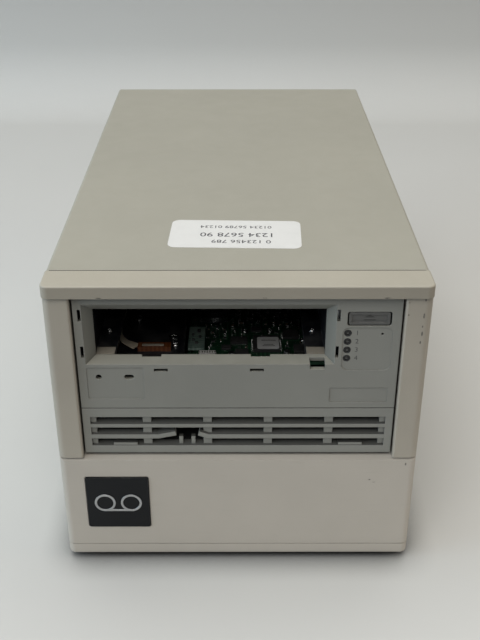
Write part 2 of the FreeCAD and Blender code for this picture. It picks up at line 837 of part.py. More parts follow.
def power_rocker():
    """Rocker with a shallow valley face on its pivot pin, resting with one end pressed in."""
    z = base_z + inlet_lift
    half = rocker_width / 2 - 0.6
    tall = rocker_height / 2
    pivot = rocker_axis_y()
    outline = [Vec(rocker_x - half, pivot + 7.6, z - tall), Vec(rocker_x, pivot + 5.8, z - tall),
               Vec(rocker_x + half, pivot + 7.6, z - tall), Vec(rocker_x + half, pivot + 2.0, z - tall),
               Vec(rocker_x + 2.5, pivot - 2.5, z - tall), Vec(rocker_x - 2.5, pivot - 2.5, z - tall),
               Vec(rocker_x - half, pivot + 2.0, z - tall)]
    paddle = prism(outline, Vec(0, 0, rocker_height))
    pin = rod(pin_radius, rocker_height + 1.6 * rocker_frame, rocker_x, pivot,
              z - rocker_height / 2 - 0.8 * rocker_frame, Z_AXIS)
    rocker = union([paddle, pin])
    rocker.rotate(Vec(rocker_x, pivot, z), Z_AXIS, rocker_tilt)
    return rocker


def power_supply_case():
    """Closed power supply box on the tray, with louvre recesses along its top."""
    left = supply_left
    rear = panel_in - seat_gap
    case = rounded(box(left, left + supply_width, rear - supply_depth, rear, tray_top,
                       tray_top + supply_height), 1.5, Y_AXIS, lambda p: p.z > tray_top + 1)
    louvres = []
    for step in range(10):
        y = rear - supply_depth + 20 + step * 9
        louvres.append(box(left + 12, left + supply_width - 12, y, y + 3.0,
                           tray_top + supply_height - 1.5, tray_top + supply_height))
    return case.cut(group(louvres))


def power_lead():
    """Bundled supply lead from the power supply up to the drive's rear socket."""
    x = supply_left + supply_width - lead_inset
    y0 = (plug_end + panel_in - fan_depth) / 2
    z0 = tray_top + supply_height
    z1 = board_top + plug_height / 2
    y1 = plug_end
    bend = (y0 - plug_end) * lead_bend_share
    first = Part.LineSegment(Vec(x, y0, z0), Vec(x, y0, z1 - bend)).toShape()
    middle = Vec(x, y0 - bend + bend * math.cos(math.radians(45)),
                 z1 - bend + bend * math.sin(math.radians(45)))
    turn = Part.Arc(Vec(x, y0, z1 - bend), middle, Vec(x, y0 - bend, z1)).toShape()
    last = Part.LineSegment(Vec(x, y0 - bend, z1), Vec(x, y1, z1)).toShape()
    section = Part.Wire(Part.makeCircle(lead_radius, Vec(x, y0, z0), Z_AXIS))
    return Part.Wire([first, turn, last]).makePipeShell([section], True, False)


def data_ribbon():
    """Flat data ribbon from the drive's rear socket to the upper data port."""
    x0 = port_x - ribbon_width / 2
    z0 = board_top + plug_height / 2
    z1 = base_z + port_lifts[0]
    y0 = plug_end
    y1 = panel_in - port_depth
    middle = (y0 + y1) / 2
    low = box(x0, x0 + ribbon_width, y0, middle - ribbon_bend, z0, z0 + ribbon_thickness)
    high = box(x0, x0 + ribbon_width, middle + ribbon_bend, y1, z1, z1 + ribbon_thickness)
    inner = ribbon_bend - ribbon_thickness / 2
    outer = ribbon_bend + ribbon_thickness / 2
    z_low = z0 + ribbon_thickness / 2 + ribbon_bend
    z_high = z1 + ribbon_thickness / 2 - ribbon_bend
    tube_low = ring(outer, inner, ribbon_width, x0, middle - ribbon_bend, z_low, X_AXIS)
    tube_low = tube_low.common(box(x0, x0 + ribbon_width, middle - ribbon_bend, middle + outer,
                                   z_low - outer, z_low))
    tube_high = ring(outer, inner, ribbon_width, x0, middle + ribbon_bend, z_high, X_AXIS)
    tube_high = tube_high.common(box(x0, x0 + ribbon_width, middle - outer, middle + ribbon_bend,
                                     z_high, z_high + outer))
    riser = box(x0, x0 + ribbon_width, middle - ribbon_thickness / 2, middle + ribbon_thickness / 2,
                z_low, z_high)
    return union([low, tube_low, riser, tube_high, high])


# ---------------------------------------------------------------- drive carrier
def drive_shelf():
    """Folded shelf that carries the drive over the power supply."""
    half = half_width - shelf_leg_inset
    y0 = frame_back + seat_gap
    y1 = y0 + shelf_length
    outline = [Vec(-half, y0, tray_top), Vec(-half, y0, shelf_top), Vec(half, y0, shelf_top),
               Vec(half, y0, tray_top), Vec(half - shelf_foot, y0, tray_top),
               Vec(half - shelf_foot, y0, tray_top + sheet), Vec(half - sheet, y0, tray_top + sheet),
               Vec(half - sheet, y0, shelf_top - sheet), Vec(-half + sheet, y0, shelf_top - sheet),
               Vec(-half + sheet, y0, tray_top + sheet), Vec(-half + shelf_foot, y0, tray_top + sheet),
               Vec(-half + shelf_foot, y0, tray_top)]
    return prism(outline, Vec(0, y1 - y0, 0))


def side_brackets():
    """Angle brackets screwed to both sides of the drive."""
    middle = (drive_front + drive_rear) / 2
    y0 = middle - bracket_length / 2
    x0 = drive_half + seat_gap
    outline = [Vec(x0, y0, shelf_top), Vec(x0 + 4 * sheet, y0, shelf_top),
               Vec(x0 + 4 * sheet, y0, shelf_top + sheet), Vec(x0 + sheet, y0, shelf_top + sheet),
               Vec(x0 + sheet, y0, shelf_top + bracket_height), Vec(x0, y0, shelf_top + bracket_height)]
    angle = prism(outline, Vec(0, bracket_length, 0))
    holes = [rod(machine_screw + run_gap, 2 * sheet, x0 - 0.5, y, z, X_AXIS)
             for side, y, z in bracket_screw_places() if side > 0]
    right = angle.cut(group(holes))
    return group([mirrored(right), right])


# ---------------------------------------------------------------- drive front
def rectangle(x0, x1, z0, z1, y):
    """Closed upright rectangle wire."""
    return Part.makePolygon([Vec(x0, y, z0), Vec(x1, y, z0), Vec(x1, y, z1), Vec(x0, y, z1),
                             Vec(x0, y, z0)])


def funnel(grow):
    """Tapered mouth of the cartridge slot from the bezel face to the throat, grown all round."""
    back = bezel_y + bezel_return
    low = bezel_z + mouth_low
    high = bezel_z + mouth_high
    wide = rectangle(mouth_left - grow, mouth_right + grow, low - grow, high + grow, bezel_y)
    narrow = rectangle(throat_left - grow, throat_right + grow, throat_low - grow, throat_high + grow, back)
    return Part.makeLoft([wide, narrow], True, True)


def pad(limits, corner):
    """Cut of a shallow recessed pad in the bezel face."""
    x0, x1, z0, z1 = limits
    return plate(x0, x1, bezel_y - 1, bezel_y + pad_recess, bezel_z + z0, bezel_z + z1, corner)


def drive_bezel():
    """Moulded drive front: tapered cartridge mouth, latch windows, slots, holes and shallow pads."""
    low = bezel_z + bezel_split + seat_gap / 2
    high = bezel_z + bezel_height
    back = bezel_y + bezel_return
    face = box(-bezel_half, bezel_half, bezel_y, bezel_y + bezel_plate, low, high)
    skirt = box(-bezel_half, bezel_half, bezel_y + bezel_plate, back, low, high)
    skirt = skirt.cut(box(-bezel_half + bezel_wall, bezel_half - bezel_wall, bezel_y + bezel_plate, back,
                          low, high - bezel_wall))
    shell = union([face, skirt, funnel(bezel_wall).cut(box(-bezel_half, bezel_half, back - 0.01, back + 1,
                                                           low, high))])
    cuts = [funnel(0), pad(left_pad, 0.8), pad(lamp_pad, 3.0), pad(name_pad, 0.8)]
    for z0 in (latch_low, latch_high):
        for x0 in (mouth_left - latch_width - 0.4, mouth_right + 0.2):
            cuts.append(box(x0, x0 + latch_width, bezel_y, back, bezel_z + z0, bezel_z + z0 + latch_height))
    for x in [mouth_middle + offset for offset in sill_notch_offsets]:
        cuts.append(box(x - sill_notch_width / 2, x + sill_notch_width / 2, back - 1.8, back,
                        throat_low - 1.2, throat_low))
    for x in [mouth_middle + offset for offset in vent_slot_offsets]:
        cuts.append(box(x - vent_slot_width / 2, x + vent_slot_width / 2, bezel_y, bezel_y + bezel_plate,
                        bezel_z + vent_slot_low, bezel_z + vent_slot_low + vent_slot_height))
    window_x = mouth_right - sensor_window_inset
    cuts.append(box(window_x - sensor_window_width / 2, window_x + sensor_window_width / 2, bezel_y,
                    bezel_y + sensor_window_depth, bezel_z + sensor_window_low, throat_low))
    row = bezel_z + hole_row_height
    cuts.append(rod(round_hole_radius, bezel_plate, mouth_left + round_hole_inset, bezel_y, row, Y_AXIS))
    oval_x = mouth_left + oval_hole_inset
    cuts.append(plate(oval_x - oval_hole_width / 2, oval_x + oval_hole_width / 2, bezel_y,
                      bezel_y + bezel_plate, row - oval_hole_height / 2, row + oval_hole_height / 2,
                      oval_hole_height / 2 - 0.01))
    cuts.append(plate(button_x - button_width / 2, button_x + button_width / 2, bezel_y,
                      bezel_y + bezel_plate,
                      bezel_z + button_low, bezel_z + button_low + button_height, 1.2))
    for z in lamp_heights():
        cuts.append(rod(lamp_hole_radius, bezel_plate, lamp_x, bezel_y, z, Y_AXIS))
    cuts.append(rod(reset_hole_radius, bezel_plate, bezel_half - reset_hole_inset, bezel_y,
                    bezel_z + reset_hole_height, Y_AXIS))
    return shell.cut(group(cuts))


def lamp_heights():
    """Heights of the status lamps."""
    return [bezel_z + lamp_first + lamp_pitch * step for step in range(lamp_count)]


def divider_places():
    """Left edges of the grille's dividers, spaced evenly across its opening."""
    span = 2 * (bezel_half - grille_edge)
    pitch = (span + divider_width) / (divider_count + 1)
    return [-bezel_half + grille_edge + pitch * (step + 1) - divider_width for step in range(divider_count)]


def slat(x0, x1, z0, height):
    """Louvre slat whose top and underside rise towards the back."""
    y0 = bezel_y
    y1 = bezel_y + slat_depth
    outline = [Vec(x0, y0, z0), Vec(x0, y0, z0 + height), Vec(x0, y1, z0 + height + slat_rise),
               Vec(x0, y1, z0 + slat_rise)]
    return prism(outline, Vec(x1 - x0, 0, 0))


def drive_grille():
    """Louvred lower front: sloped slats in front of set-back dividers, one slat snapped out."""
    high = bezel_z + bezel_split - seat_gap / 2
    back = bezel_y + bezel_return
    left = -bezel_half + grille_edge
    right = bezel_half - grille_edge
    slot_low = bezel_z + grille_low
    slot_high = slot_low + 3 * slot_height + sum(slat_heights)
    frame = box(-bezel_half, bezel_half, bezel_y, back, bezel_z, high)
    frame = frame.cut(box(left, right, bezel_y, back, slot_low, slot_high))
    hollow = box(-bezel_half + bezel_wall, bezel_half - bezel_wall, bezel_y + slat_depth, back,
                 bezel_z + bezel_wall, high)
    pieces = [frame.cut(hollow)]
    sill = prism([Vec(left, bezel_y, slot_low), Vec(left, bezel_y + slat_depth, slot_low),
                  Vec(left, bezel_y + slat_depth, slot_low + slat_rise)], Vec(right - left, 0, 0))
    pieces.append(sill)
    lower = slot_low + slot_height
    upper = lower + slat_heights[0] + slot_height
    pieces.append(slat(left, right, upper, slat_heights[1]))
    ends = [-bezel_half + inset for inset in break_insets]
    pieces.append(slat(left, ends[0], lower, slat_heights[0]))
    pieces.append(slat(ends[1], right, lower, slat_heights[0]))
    for end, way, length, angle in zip(ends, (1, -1), stub_lengths, stub_angles):
        x0, x1 = sorted((end - way * 0.4, end + way * length))
        stub = slat(x0, x1, lower, slat_heights[0])
        stub.rotate(Vec(end, bezel_y, lower), Y_AXIS, -way * angle)
        pieces.append(stub)
    ribs = [(x, x + divider_width) for x in divider_places()]
    ribs += [(left, left + end_rib_width), (right - end_rib_width, right)]
    for x0, x1 in ribs:
        pieces.append(box(x0, x1, bezel_y + divider_setback, bezel_y + slat_depth, slot_low, slot_high))
    for x in (-bezel_half + slot_tab_inset, bezel_half - slot_tab_inset):
        pieces.append(box(x - slot_tab_width / 2, x + slot_tab_width / 2, bezel_y + 0.4,
                          bezel_y + slat_depth, slot_low, slot_low + slot_tab_height))
    for x in [-bezel_half + inset for inset in rib_stub_insets]:
        x0 = x - rib_stub_width / 2
        x1 = x + rib_stub_width / 2
        pieces.append(box(x0, x1, bezel_y + divider_setback, bezel_y + slat_depth, slot_low,
                          lower + rib_stub_rise))
        pieces.append(box(x0, x1, bezel_y + divider_setback, bezel_y + slat_depth,
                          upper - rib_remnant_height, upper + 0.5))
    return union(pieces)


def eject_button():
    """Eject key with a dished face and a stem towards its switch."""
    left = button_x - button_width / 2 + button_gap
    right = button_x + button_width / 2 - button_gap
    low = bezel_z + button_low + button_gap * 0.6
    high = bezel_z + button_low + button_height - button_gap * 0.6
    front = bezel_y + 0.3
    cap = plate(left, right, front, front + button_length - 2.5, low, high, 0.9)
    dish = plate(left + 1.2, right - 1.2, front, front + button_dish, low + 1.2, high - 1.2, 0.6)
    stem = rod(1.6, 4.0, button_x, front + button_length - 4.0, (low + high) / 2, Y_AXIS)
    return union([cap.cut(dish), stem])


def panel_board_y():
    """Depth of the front face of the front panel board."""
    return bezel_y + 0.3 + button_length + button_travel + move_gap + 1.2


def front_panel_board():
    """Small upright board behind the lamps and the eject key, with its tactile switch."""
    y = panel_board_y()
    low = bezel_z + front_board_height
    high = bezel_z + front_board_top
    board = box(lamp_x - 2.4, wall_half - 0.6, y, y + board_thickness, low, high)
    switch_z = bezel_z + button_low + button_height / 2
    switch = box(button_x - 3, button_x + 3, y - 1.2, y, switch_z - 3, switch_z + 3)
    posts = [rod(2.0, y - bezel_y - bezel_plate, x, bezel_y + bezel_plate, low + 3.5, Y_AXIS)
             for x in (lamp_x + 6, wall_half - 4)]
    return union([board, switch] + posts)


def led_light_pipes():
    """Four light pipes from the board to the lamp holes."""
    front = bezel_y + pad_recess + 0.4
    return group([rod(lamp_radius, panel_board_y() - front, lamp_x, front, z, Y_AXIS)
                  for z in lamp_heights()])


# ---------------------------------------------------------------- drive structure
def drive_chassis():
    """Drive tub: floor, two sides and a rear wall with its cut-outs."""
    high = drive_high - chassis_top
    tub = box(-drive_half, drive_half, drive_front, drive_rear, drive_low, high)
    tub = tub.cut(box(-wall_half, wall_half, drive_front, drive_rear - chassis_wall, floor_top, high))
    cuts = []
    for x0, width in plug_places():
        cuts.append(box(x0 - seat_gap, x0 + width + seat_gap, drive_rear - chassis_wall, drive_rear,
                        board_top - seat_gap, board_top + plug_height + seat_gap))
    x, z = drive_fan_place()
    cuts.append(rod(drive_fan_size / 2 - 2.0, chassis_wall, x, drive_rear - chassis_wall, z, Y_AXIS))
    for side, y, z in bracket_screw_places():
        cuts.append(rod(machine_screw + run_gap, chassis_wall + 1, side * (drive_half + 0.5), y, z,
                        X_AXIS * -side))
    return tub.cut(group(cuts))


def drive_top_cover():
    """Sheet lid of the drive with two pressed stiffening channels."""
    lid = box(-drive_half, drive_half, drive_front, drive_rear, drive_high - chassis_top, drive_high)
    channels = [plate_flat(x, 6.0, drive_front + 40, drive_rear - 40, drive_high - 0.5, drive_high)
                for x in (-38.0, 38.0)]
    return lid.cut(group(channels))


def plate_flat(x, width, y0, y1, z0, z1):
    """Lying bar with rounded ends, centred on x."""
    bar = box(x - width / 2, x + width / 2, y0, y1, z0, z1)
    return rounded(bar, width / 2 - 0.01, Z_AXIS)


def drive_fan_place():
    """Centre of the drive's own fan across and up."""
    return -wall_half + drive_fan_size / 2 + 0.8, floor_top + drive_fan_size / 2 + 0.8


def plug_places():
    """Left edge and width of the drive's power and data sockets."""
    power = hub_x - 9.0
    return (power, power_plug_width), (power + power_plug_width + 8.0, data_plug_width)


def drive_rear_connectors():
    """Power and data sockets on the rear edge of the main board."""
    rear = plug_end
    return group([box(x0, x0 + width, rear - plug_depth, rear, board_top, board_top + plug_height)
                  for x0, width in plug_places()])


def deck_post_places():
    """Places of the posts that carry the deck."""
    x = wall_half - post_radius - 2
    left = -x
    return [(left, bezel_y + deck_front + 6), (deck_tongue - 6, bezel_y + deck_front + 6),
            (left, bezel_y + 78), (x, bezel_y + deck_right_front + 8),
            (left, deck_end - 8), (x, deck_end - 8)]


def deck_posts():
    """Turned posts from the drive's floor to the deck."""
    return group([rod(post_radius, deck_z - floor_top, x, y, floor_top) for x, y in deck_post_places()])


def board_post_places():
    """Places of the short posts under the main board."""
    right = wall_half - 8
    return [(board_left + 6, bezel_y + board_front + 6), (right, bezel_y + board_front + 6),
            (board_left + 6, bezel_y + 150), (right, bezel_y + 150)]


def main_board():
    """Main circuit board with a raised side board at its front left corner."""
    right = wall_half - 0.6
    front = bezel_y + board_front
    step = bezel_y + board_step
    board = union([box(board_left, right, front, board_end, board_z, board_top),
                   box(-right, board_left, step, board_end, board_z, board_top)])
    holes = [rod(post_radius + seat_gap, board_thickness, x, y, board_z) for x, y in deck_post_places()]
    board = board.cut(group(holes))
    legs = [rod(1.4, 3.0, board_left + 4.5, y, board_top) for y in (front + 10, front + 26)]
    raised = box(board_left + 0.6, board_left + 8.6, front + 7, front + 29, board_top + 3.0,
                 board_top + 4.2)
    side_board = union([raised] + legs)
    posts = [rod(2.2, board_z - floor_top, x, y, floor_top) for x, y in board_post_places()]
    return group([board, side_board] + posts)


def board_components():
    """Chips, connectors and capacitors on the main board."""
    front = bezel_y + board_front
    width = wall_half - 0.6 - board_left
    # Share of the board's width, distance from its front edge, width, depth and height of each.
    chips = [(0.423, 17.0, 14.0, 15.0, 1.8), (0.108, 4.2, 9.0, 3.2, 3.6), (0.619, 12.0, 10.0, 8.0, 1.4),
             (0.289, 9.0, 7.0, 5.0, 1.2), (0.275, 21.0, 9.0, 6.0, 1.4), (0.557, 27.0, 8.0, 8.0, 1.5),
             (0.753, 10.0, 9.0, 14.0, 1.6), (0.888, 16.0, 8.0, 6.0, 2.0), (0.206, 14.0, 5.0, 4.0, 1.0),
             (0.681, 30.0, 5.0, 10.0, 1.4), (0.888, 34.0, 12.0, 12.0, 1.8), (0.372, 33.0, 6.0, 4.0, 1.0)]
    pieces = [box(board_left + share * width - w / 2, board_left + share * width + w / 2,
                  front + y - d / 2, front + y + d / 2, board_top, board_top + h)
              for share, y, w, d, h in chips]
    for share, y in ((0.237, 4.0), (0.526, 5.0), (0.805, 24.5)):
        pieces.append(rod(1.6, 3.6, board_left + share * width, front + y, board_top))
    return group(pieces)


def deck_plate():
    """Cast deck: left tongue beside the cartridge bay, rear platform and a collar for the hub motor."""
    front = bezel_y + deck_front
    right = wall_half - 0.4
    end = deck_end
    tongue = box(-right, deck_tongue, front, bezel_y + deck_right_front, deck_z, deck_top)
    rear = box(-right, right, bezel_y + deck_right_front, end, deck_z, deck_top)
    collar = rod(deck_collar, deck_thickness, hub_place.x, hub_place.y, deck_z)
    deck = union([tongue, rear, collar])
    holes = [rod(motor_boss + seat_gap, deck_thickness, p.x, p.y, deck_z) for p in (hub_place, reel_place)]
    return deck.cut(group(holes))


def spindle_motor(place, radius):
    """Flat spindle motor under the deck with its boss up through the deck."""
    low = deck_z - motor_height
    body = lathe([(0, low), (radius - 1, low), (radius, low + 1), (radius, deck_z), (motor_boss, deck_z),
                  (motor_boss, deck_top + 0.6), (0, deck_top + 0.6)], Vec(place.x, place.y, 0))
    bore = rod(motor_shaft + run_gap, motor_height + deck_thickness, place.x, place.y, low + 1.2)
    return body.cut(bore)


def supply_hub():
    """Splined hub that turns the cartridge's reel, on its shaft."""
    low = deck_top + 0.6 + move_gap
    high = low + hub_height
    top = high + spline_height
    body = lathe([(0, low - 6), (motor_shaft, low - 6), (motor_shaft, low), (hub_radius, low),
                  (hub_radius, high), (spline_radius - 1, high), (spline_radius - 1.6, top),
                  (0, top)], Vec(hub_place.x, hub_place.y, 0))
    teeth = []
    for step in range(spline_teeth):
        tooth = box(spline_radius - 2, spline_radius, -0.8, 0.8, high - 0.2, top - 1)
        tooth.rotate(Vec(0, 0, 0), Z_AXIS, 360 / spline_teeth * step)
        tooth.translate(Vec(hub_place.x, hub_place.y, 0))
        teeth.append(tooth)
    return union([body] + teeth)


def take_up_reel():
    """Flanged take-up reel on its shaft, with a leader notch in its core."""
    low = deck_top + 0.6 + move_gap
    high = low + reel_height
    body = lathe([(0, low - 6), (motor_shaft, low - 6), (motor_shaft, low), (reel_radius, low),
                  (reel_radius, low + reel_flange), (reel_core, low + reel_flange),
                  (reel_core, high - reel_flange), (reel_radius, high - reel_flange),
                  (reel_radius, high), (0, high)], Vec(reel_place.x, reel_place.y, 0))
    notch = box(reel_place.x - 3, reel_place.x + 3, reel_place.y - reel_radius, reel_place.y - reel_core + 5,
                high - reel_flange - 4, high)
    return body.cut(notch)


# ---------------------------------------------------------------- cartridge loading
def shoe_limits():
    """Low and high limits of the carriage shoes in their rails."""
    low = bezel_z + rail_low + (rail_height - 4.0) / 2 + move_gap
    return low, low + 4.0 - 2 * move_gap


def cartridge_carriage():
    """Open cartridge receiver: two angle arms, rear stop bar, rail shoes and a rack on the right."""
    high = bezel_z + carriage_top
    left_arm = box(arm_left - carriage_arm, arm_left, carriage_y0, carriage_y1, ledge_low, high)
    right_arm = box(arm_right, arm_right + carriage_arm, carriage_y0, carriage_y1, ledge_low, high)
    left_ledge = box(arm_left, arm_left + carriage_ledge, carriage_y0, carriage_y1, ledge_low, ledge_top)
    right_ledge = box(arm_right - carriage_ledge, arm_right, carriage_y0, carriage_y1, ledge_low, ledge_top)
    stop = box(arm_left, arm_right, carriage_y1 - carriage_bar, carriage_y1, ledge_low, ledge_top + 6)
    shoe_low, shoe_high = shoe_limits()
    shoe_y = carriage_y0 + 44
    reach = rail_width - rail_web - move_gap
    shoes = [box(arm_left - carriage_arm - reach - move_gap, arm_left - carriage_arm, shoe_y,
                 shoe_y + shoe_length, shoe_low, shoe_high),
             box(arm_right + carriage_arm, arm_right + carriage_arm + reach + move_gap, shoe_y,
                 shoe_y + shoe_length, shoe_low, shoe_high)]
    frame = union([left_arm, right_arm, left_ledge, right_ledge, stop] + shoes)
    slope = prism([Vec(arm_left - 5, carriage_y0, high), Vec(arm_left - 5, carriage_y0 + 12, high),
                   Vec(arm_left - 5, carriage_y0, high - 10)], Vec(arm_right - arm_left + 10, 0, 0))
    return union([frame.cut(slope), rack()])


def rack():
    """Toothed rack on the outside of the right arm."""
    x0 = arm_right + carriage_arm
    root = x0 + 0.8
    pitch_x = root + 1.25 * gear_module
    tip = pitch_x + 0.8 * gear_module
    y_end = carriage_y1 - 2
    pitch = math.pi * gear_module
    z0 = gear_low()
    bar = box(x0, root, y_end - rack_length, y_end, z0, z0 + gear_width)
    teeth = []
    count = int(rack_length // pitch) - 1
    first = gear_y() - pitch * round((gear_y() - (y_end - rack_length)) / pitch - 1)
    for step in range(count):
        y = first + step * pitch
        wide = tooth_thickness / 2 + 0.45
        slim = tooth_thickness / 2 - 0.2
        teeth.append(prism([Vec(root, y - wide, z0), Vec(tip, y - slim, z0), Vec(tip, y + slim, z0),
                            Vec(root, y + wide, z0)], Vec(0, 0, gear_width)))
    return union([bar] + teeth)


def gear_low():
    """Underside of the loading gear and rack."""
    return ledge_low + 1.0


def gear_x():
    """Axis of the loading gear across."""
    return arm_right + carriage_arm + 0.8 + 1.25 * gear_module + pitch_radius


def gear_y():
    """Axis of the loading gear in depth."""
    return bezel_y + 73.0


def loader_gear():
    """Loading gear on its shaft; one tooth gap faces a rack tooth at rest."""
    root = pitch_radius - 1.25 * gear_module
    tip = pitch_radius + 0.8 * gear_module
    z0 = gear_low()
    x = gear_x()
    y = gear_y()
    pieces = [rod(root, gear_width, x, y, z0),
              rod(motor_shaft, gear_width + 12.0, x, y, z0 - 10.0)]
    for step in range(gear_teeth):
        wide = tooth_thickness / 2 + 0.35
        slim = tooth_thickness / 2 - 0.2
        tooth = prism([Vec(root - 0.5, -wide, z0), Vec(tip, -slim, z0), Vec(tip, slim, z0),
                       Vec(root - 0.5, wide, z0)], Vec(0, 0, gear_width))
        tooth.rotate(Vec(0, 0, 0), Z_AXIS, 360 / gear_teeth * (step + 0.5))
        tooth.translate(Vec(x, y, 0))
        pieces.append(tooth)
    return union(pieces)


def loader_motor():
    """Loading motor hung under its bracket."""
    high = gear_low() - 2.4
    can = rod(loader_motor_radius, loader_motor_height, gear_x(), gear_y(), high - loader_motor_height)
    can = can.makeChamfer(0.8, [e for e in can.Edges if e.BoundBox.ZMax < high - 1])
    return can.cut(rod(motor_shaft + run_gap, 10.0, gear_x(), gear_y(), high - 10.0))


def carriage_rails():
    """Left and right channel rails of the carriage and the loading motor's bracket."""
    y0 = carriage_y0
    y1 = carriage_y0 + rail_length
    z0 = bezel_z + rail_low
    z1 = z0 + rail_height
    slot_low, slot_high = shoe_limits()
    slot_low -= move_gap
    slot_high += move_gap
    left_edge = arm_left - carriage_arm - move_gap
    left = box(-wall_half + 0.1, left_edge, y0, y1, z0, z1)
    left = left.cut(box(-wall_half + 0.1 + rail_web, left_edge, y0, y1, slot_low, slot_high))
    right_edge = arm_right + carriage_arm + move_gap
    wall = right_edge + rail_width + move_gap
    right = box(right_edge, wall + rail_web, y0, y1, z0, z1)
    right = right.cut(box(right_edge, wall, y0, y1, slot_low, slot_high))
    front_leg = box(wall, wall + rail_web, y0, y0 + rail_leg, floor_top, z0)
    rear_leg = box(wall, wall + rail_web, bezel_y + deck_right_front + 4, y1, deck_top, z0)
    right = union([right, front_leg, rear_leg])
    z2 = gear_low() - 2.4
    arm = box(gear_x() - 4, wall_half, gear_y() - bracket_half, gear_y() + bracket_half, z2, z2 + sheet)
    arm = union([arm, box(wall_half - sheet, wall_half, gear_y() - bracket_half, gear_y() + bracket_half,
                          z2 - 14, z2)])
    arm = arm.cut(rod(motor_shaft + seat_gap, sheet, gear_x(), gear_y(), z2))
    return group([left, right, arm])


def carriage_pads():
    """Pale guide pads on the front tips of the carriage ledges."""
    y0 = carriage_y0 - 0.6
    left = box(arm_left, arm_left + pad_width, y0, y0 + pad_length, ledge_top, ledge_top + pad_height)
    right = box(arm_right - pad_width, arm_right, y0, y0 + pad_length, ledge_top, ledge_top + pad_height)
    return group([left, right])


# ---------------------------------------------------------------- tape path
def roller_low():
    """Underside of the guide rollers."""
    return deck_top + 2.0


def guide_roller(depth):
    """Flanged tape guide roller on its pin."""
    low = roller_low()
    high = low + roller_height
    place = Vec(roller_x, bezel_y + depth, 0)
    body = lathe([(pin_radius + run_gap, low), (roller_flange, low), (roller_flange, low + 1),
                  (roller_radius, low + 1.6), (roller_radius, high - 1.6), (roller_flange, high - 1),
                  (roller_flange, high), (pin_radius + run_gap, high)], place)
    return body


def head_place():
    """Left, right, front and rear limits of the head block."""
    y = bezel_y + head_y
    return head_x - head_width / 2, head_x + head_width / 2, y - head_length / 2, y + head_length / 2


def head_block():
    """Read and write head carrier with its rounded contact ridge, on a guide rod and leadscrew."""
    x0, x1, y0, y1 = head_place()
    low = deck_top + 2.0
    body = box(x0, x1, y0, y1, low, low + head_height)
    ridge = rod(3.0, head_height - 4, x1 - 0.5, (y0 + y1) / 2, low + 2)
    body = union([body, ridge])
    bores = [rod(radius + run_gap, head_height, x0 + 4, y, low)
             for radius, y in ((screw_radius, y0 + 5), (pin_radius, y1 - 5))]
    return body.cut(group(bores))


def head_leadscrew():
    """Leadscrew that raises and lowers the head."""
    x0, x1, y0, y1 = head_place()
    low = deck_top + move_gap
    return union([rod(screw_radius, head_height + head_travel + 6, x0 + 4, y0 + 5, low),
                  rod(3.2, 1.2, x0 + 4, y0 + 5, low)])


def deck_pins():
    """Pins and screws standing on the deck: rollers, head guide, threading arm and deck screws."""
    x0, x1, y0, y1 = head_place()
    pins = [rod(pin_radius, roller_height + 4, roller_x, bezel_y + depth, deck_top) for depth in roller_y]
    pins.append(rod(pin_radius, head_height + head_travel + 4, x0 + 4, y1 - 5, deck_top))
    pins.append(rod(motor_shaft, arm_level() - deck_top + arm_thickness + 1.5, arm_x, bezel_y + arm_y,
                    deck_top))
    for inset, depth in deck_screw_places:
        x = -wall_half + inset
        pins.append(union([rod(1.2, 1.2, x, bezel_y + depth, deck_top),
                           rod(2.4, 1.4, x, bezel_y + depth, deck_top + 1.2)]))
    return group(pins)


def arm_level():
    """Underside of the threading arm."""
    return deck_top + 0.6 + move_gap + reel_height + 3.0


def threading_arm():
    """Leader-threading arm over the take-up reel, with a hooked tip."""
    y = bezel_y + arm_y
    low = arm_level()
    bar = box(arm_x - arm_length, arm_x, y - arm_width / 2, y + arm_width / 2, low, low + arm_thickness)
    eye = rod(arm_width / 2 + 1, arm_thickness, arm_x, y, low)
    tip = rod(arm_width / 2, arm_thickness, arm_x - arm_length, y, low)
    hook = rod(1.2, 3.0, arm_x - arm_length, y, low - 2.0)
    return union([bar, eye, tip, hook]).cut(rod(motor_shaft + run_gap, arm_thickness, arm_x, y, low))


def flex_cable():
    """Pale flat cable standing on edge along an arc beside the hub."""
    centre = Vec(hub_x, bezel_y + 67.0, deck_top)
    band = ring(flex_radius, flex_radius - flex_thickness, flex_height, centre.x, centre.y, centre.z)
    corners = [centre]
    for angle in (172, 194, 216):
        reach = flex_radius * 1.4
        corners.append(centre + Vec(reach * math.cos(math.radians(angle)),
                                    reach * math.sin(math.radians(angle)), 0))
    return band.common(prism(corners, Vec(0, 0, flex_height)))


def film_connector():
    """Amber film cable connector at the front of the deck."""
    x0 = deck_tongue - 6.5 - film_width
    y0 = bezel_y + 35.0
    return box(x0, x0 + film_width, y0, y0 + film_length, deck_top, deck_top + film_height)


# ---------------------------------------------------------------- fans
def enclosure_fan():
    """Frame and rotor of the rear fan."""
    place = (fan_x, panel_in - fan_depth, base_z + fan_lift)
    return fan_frame(fan_size, fan_depth, *place), fan_rotor(fan_size, fan_depth, *place, 7)


def drive_fan():
    """Frame and rotor of the drive's own fan."""
    x, z = drive_fan_place()
    place = (x, drive_rear - chassis_wall - drive_fan_depth, z)
    return (fan_frame(drive_fan_size, drive_fan_depth, *place),
            fan_rotor(drive_fan_size, drive_fan_depth, *place, 5))


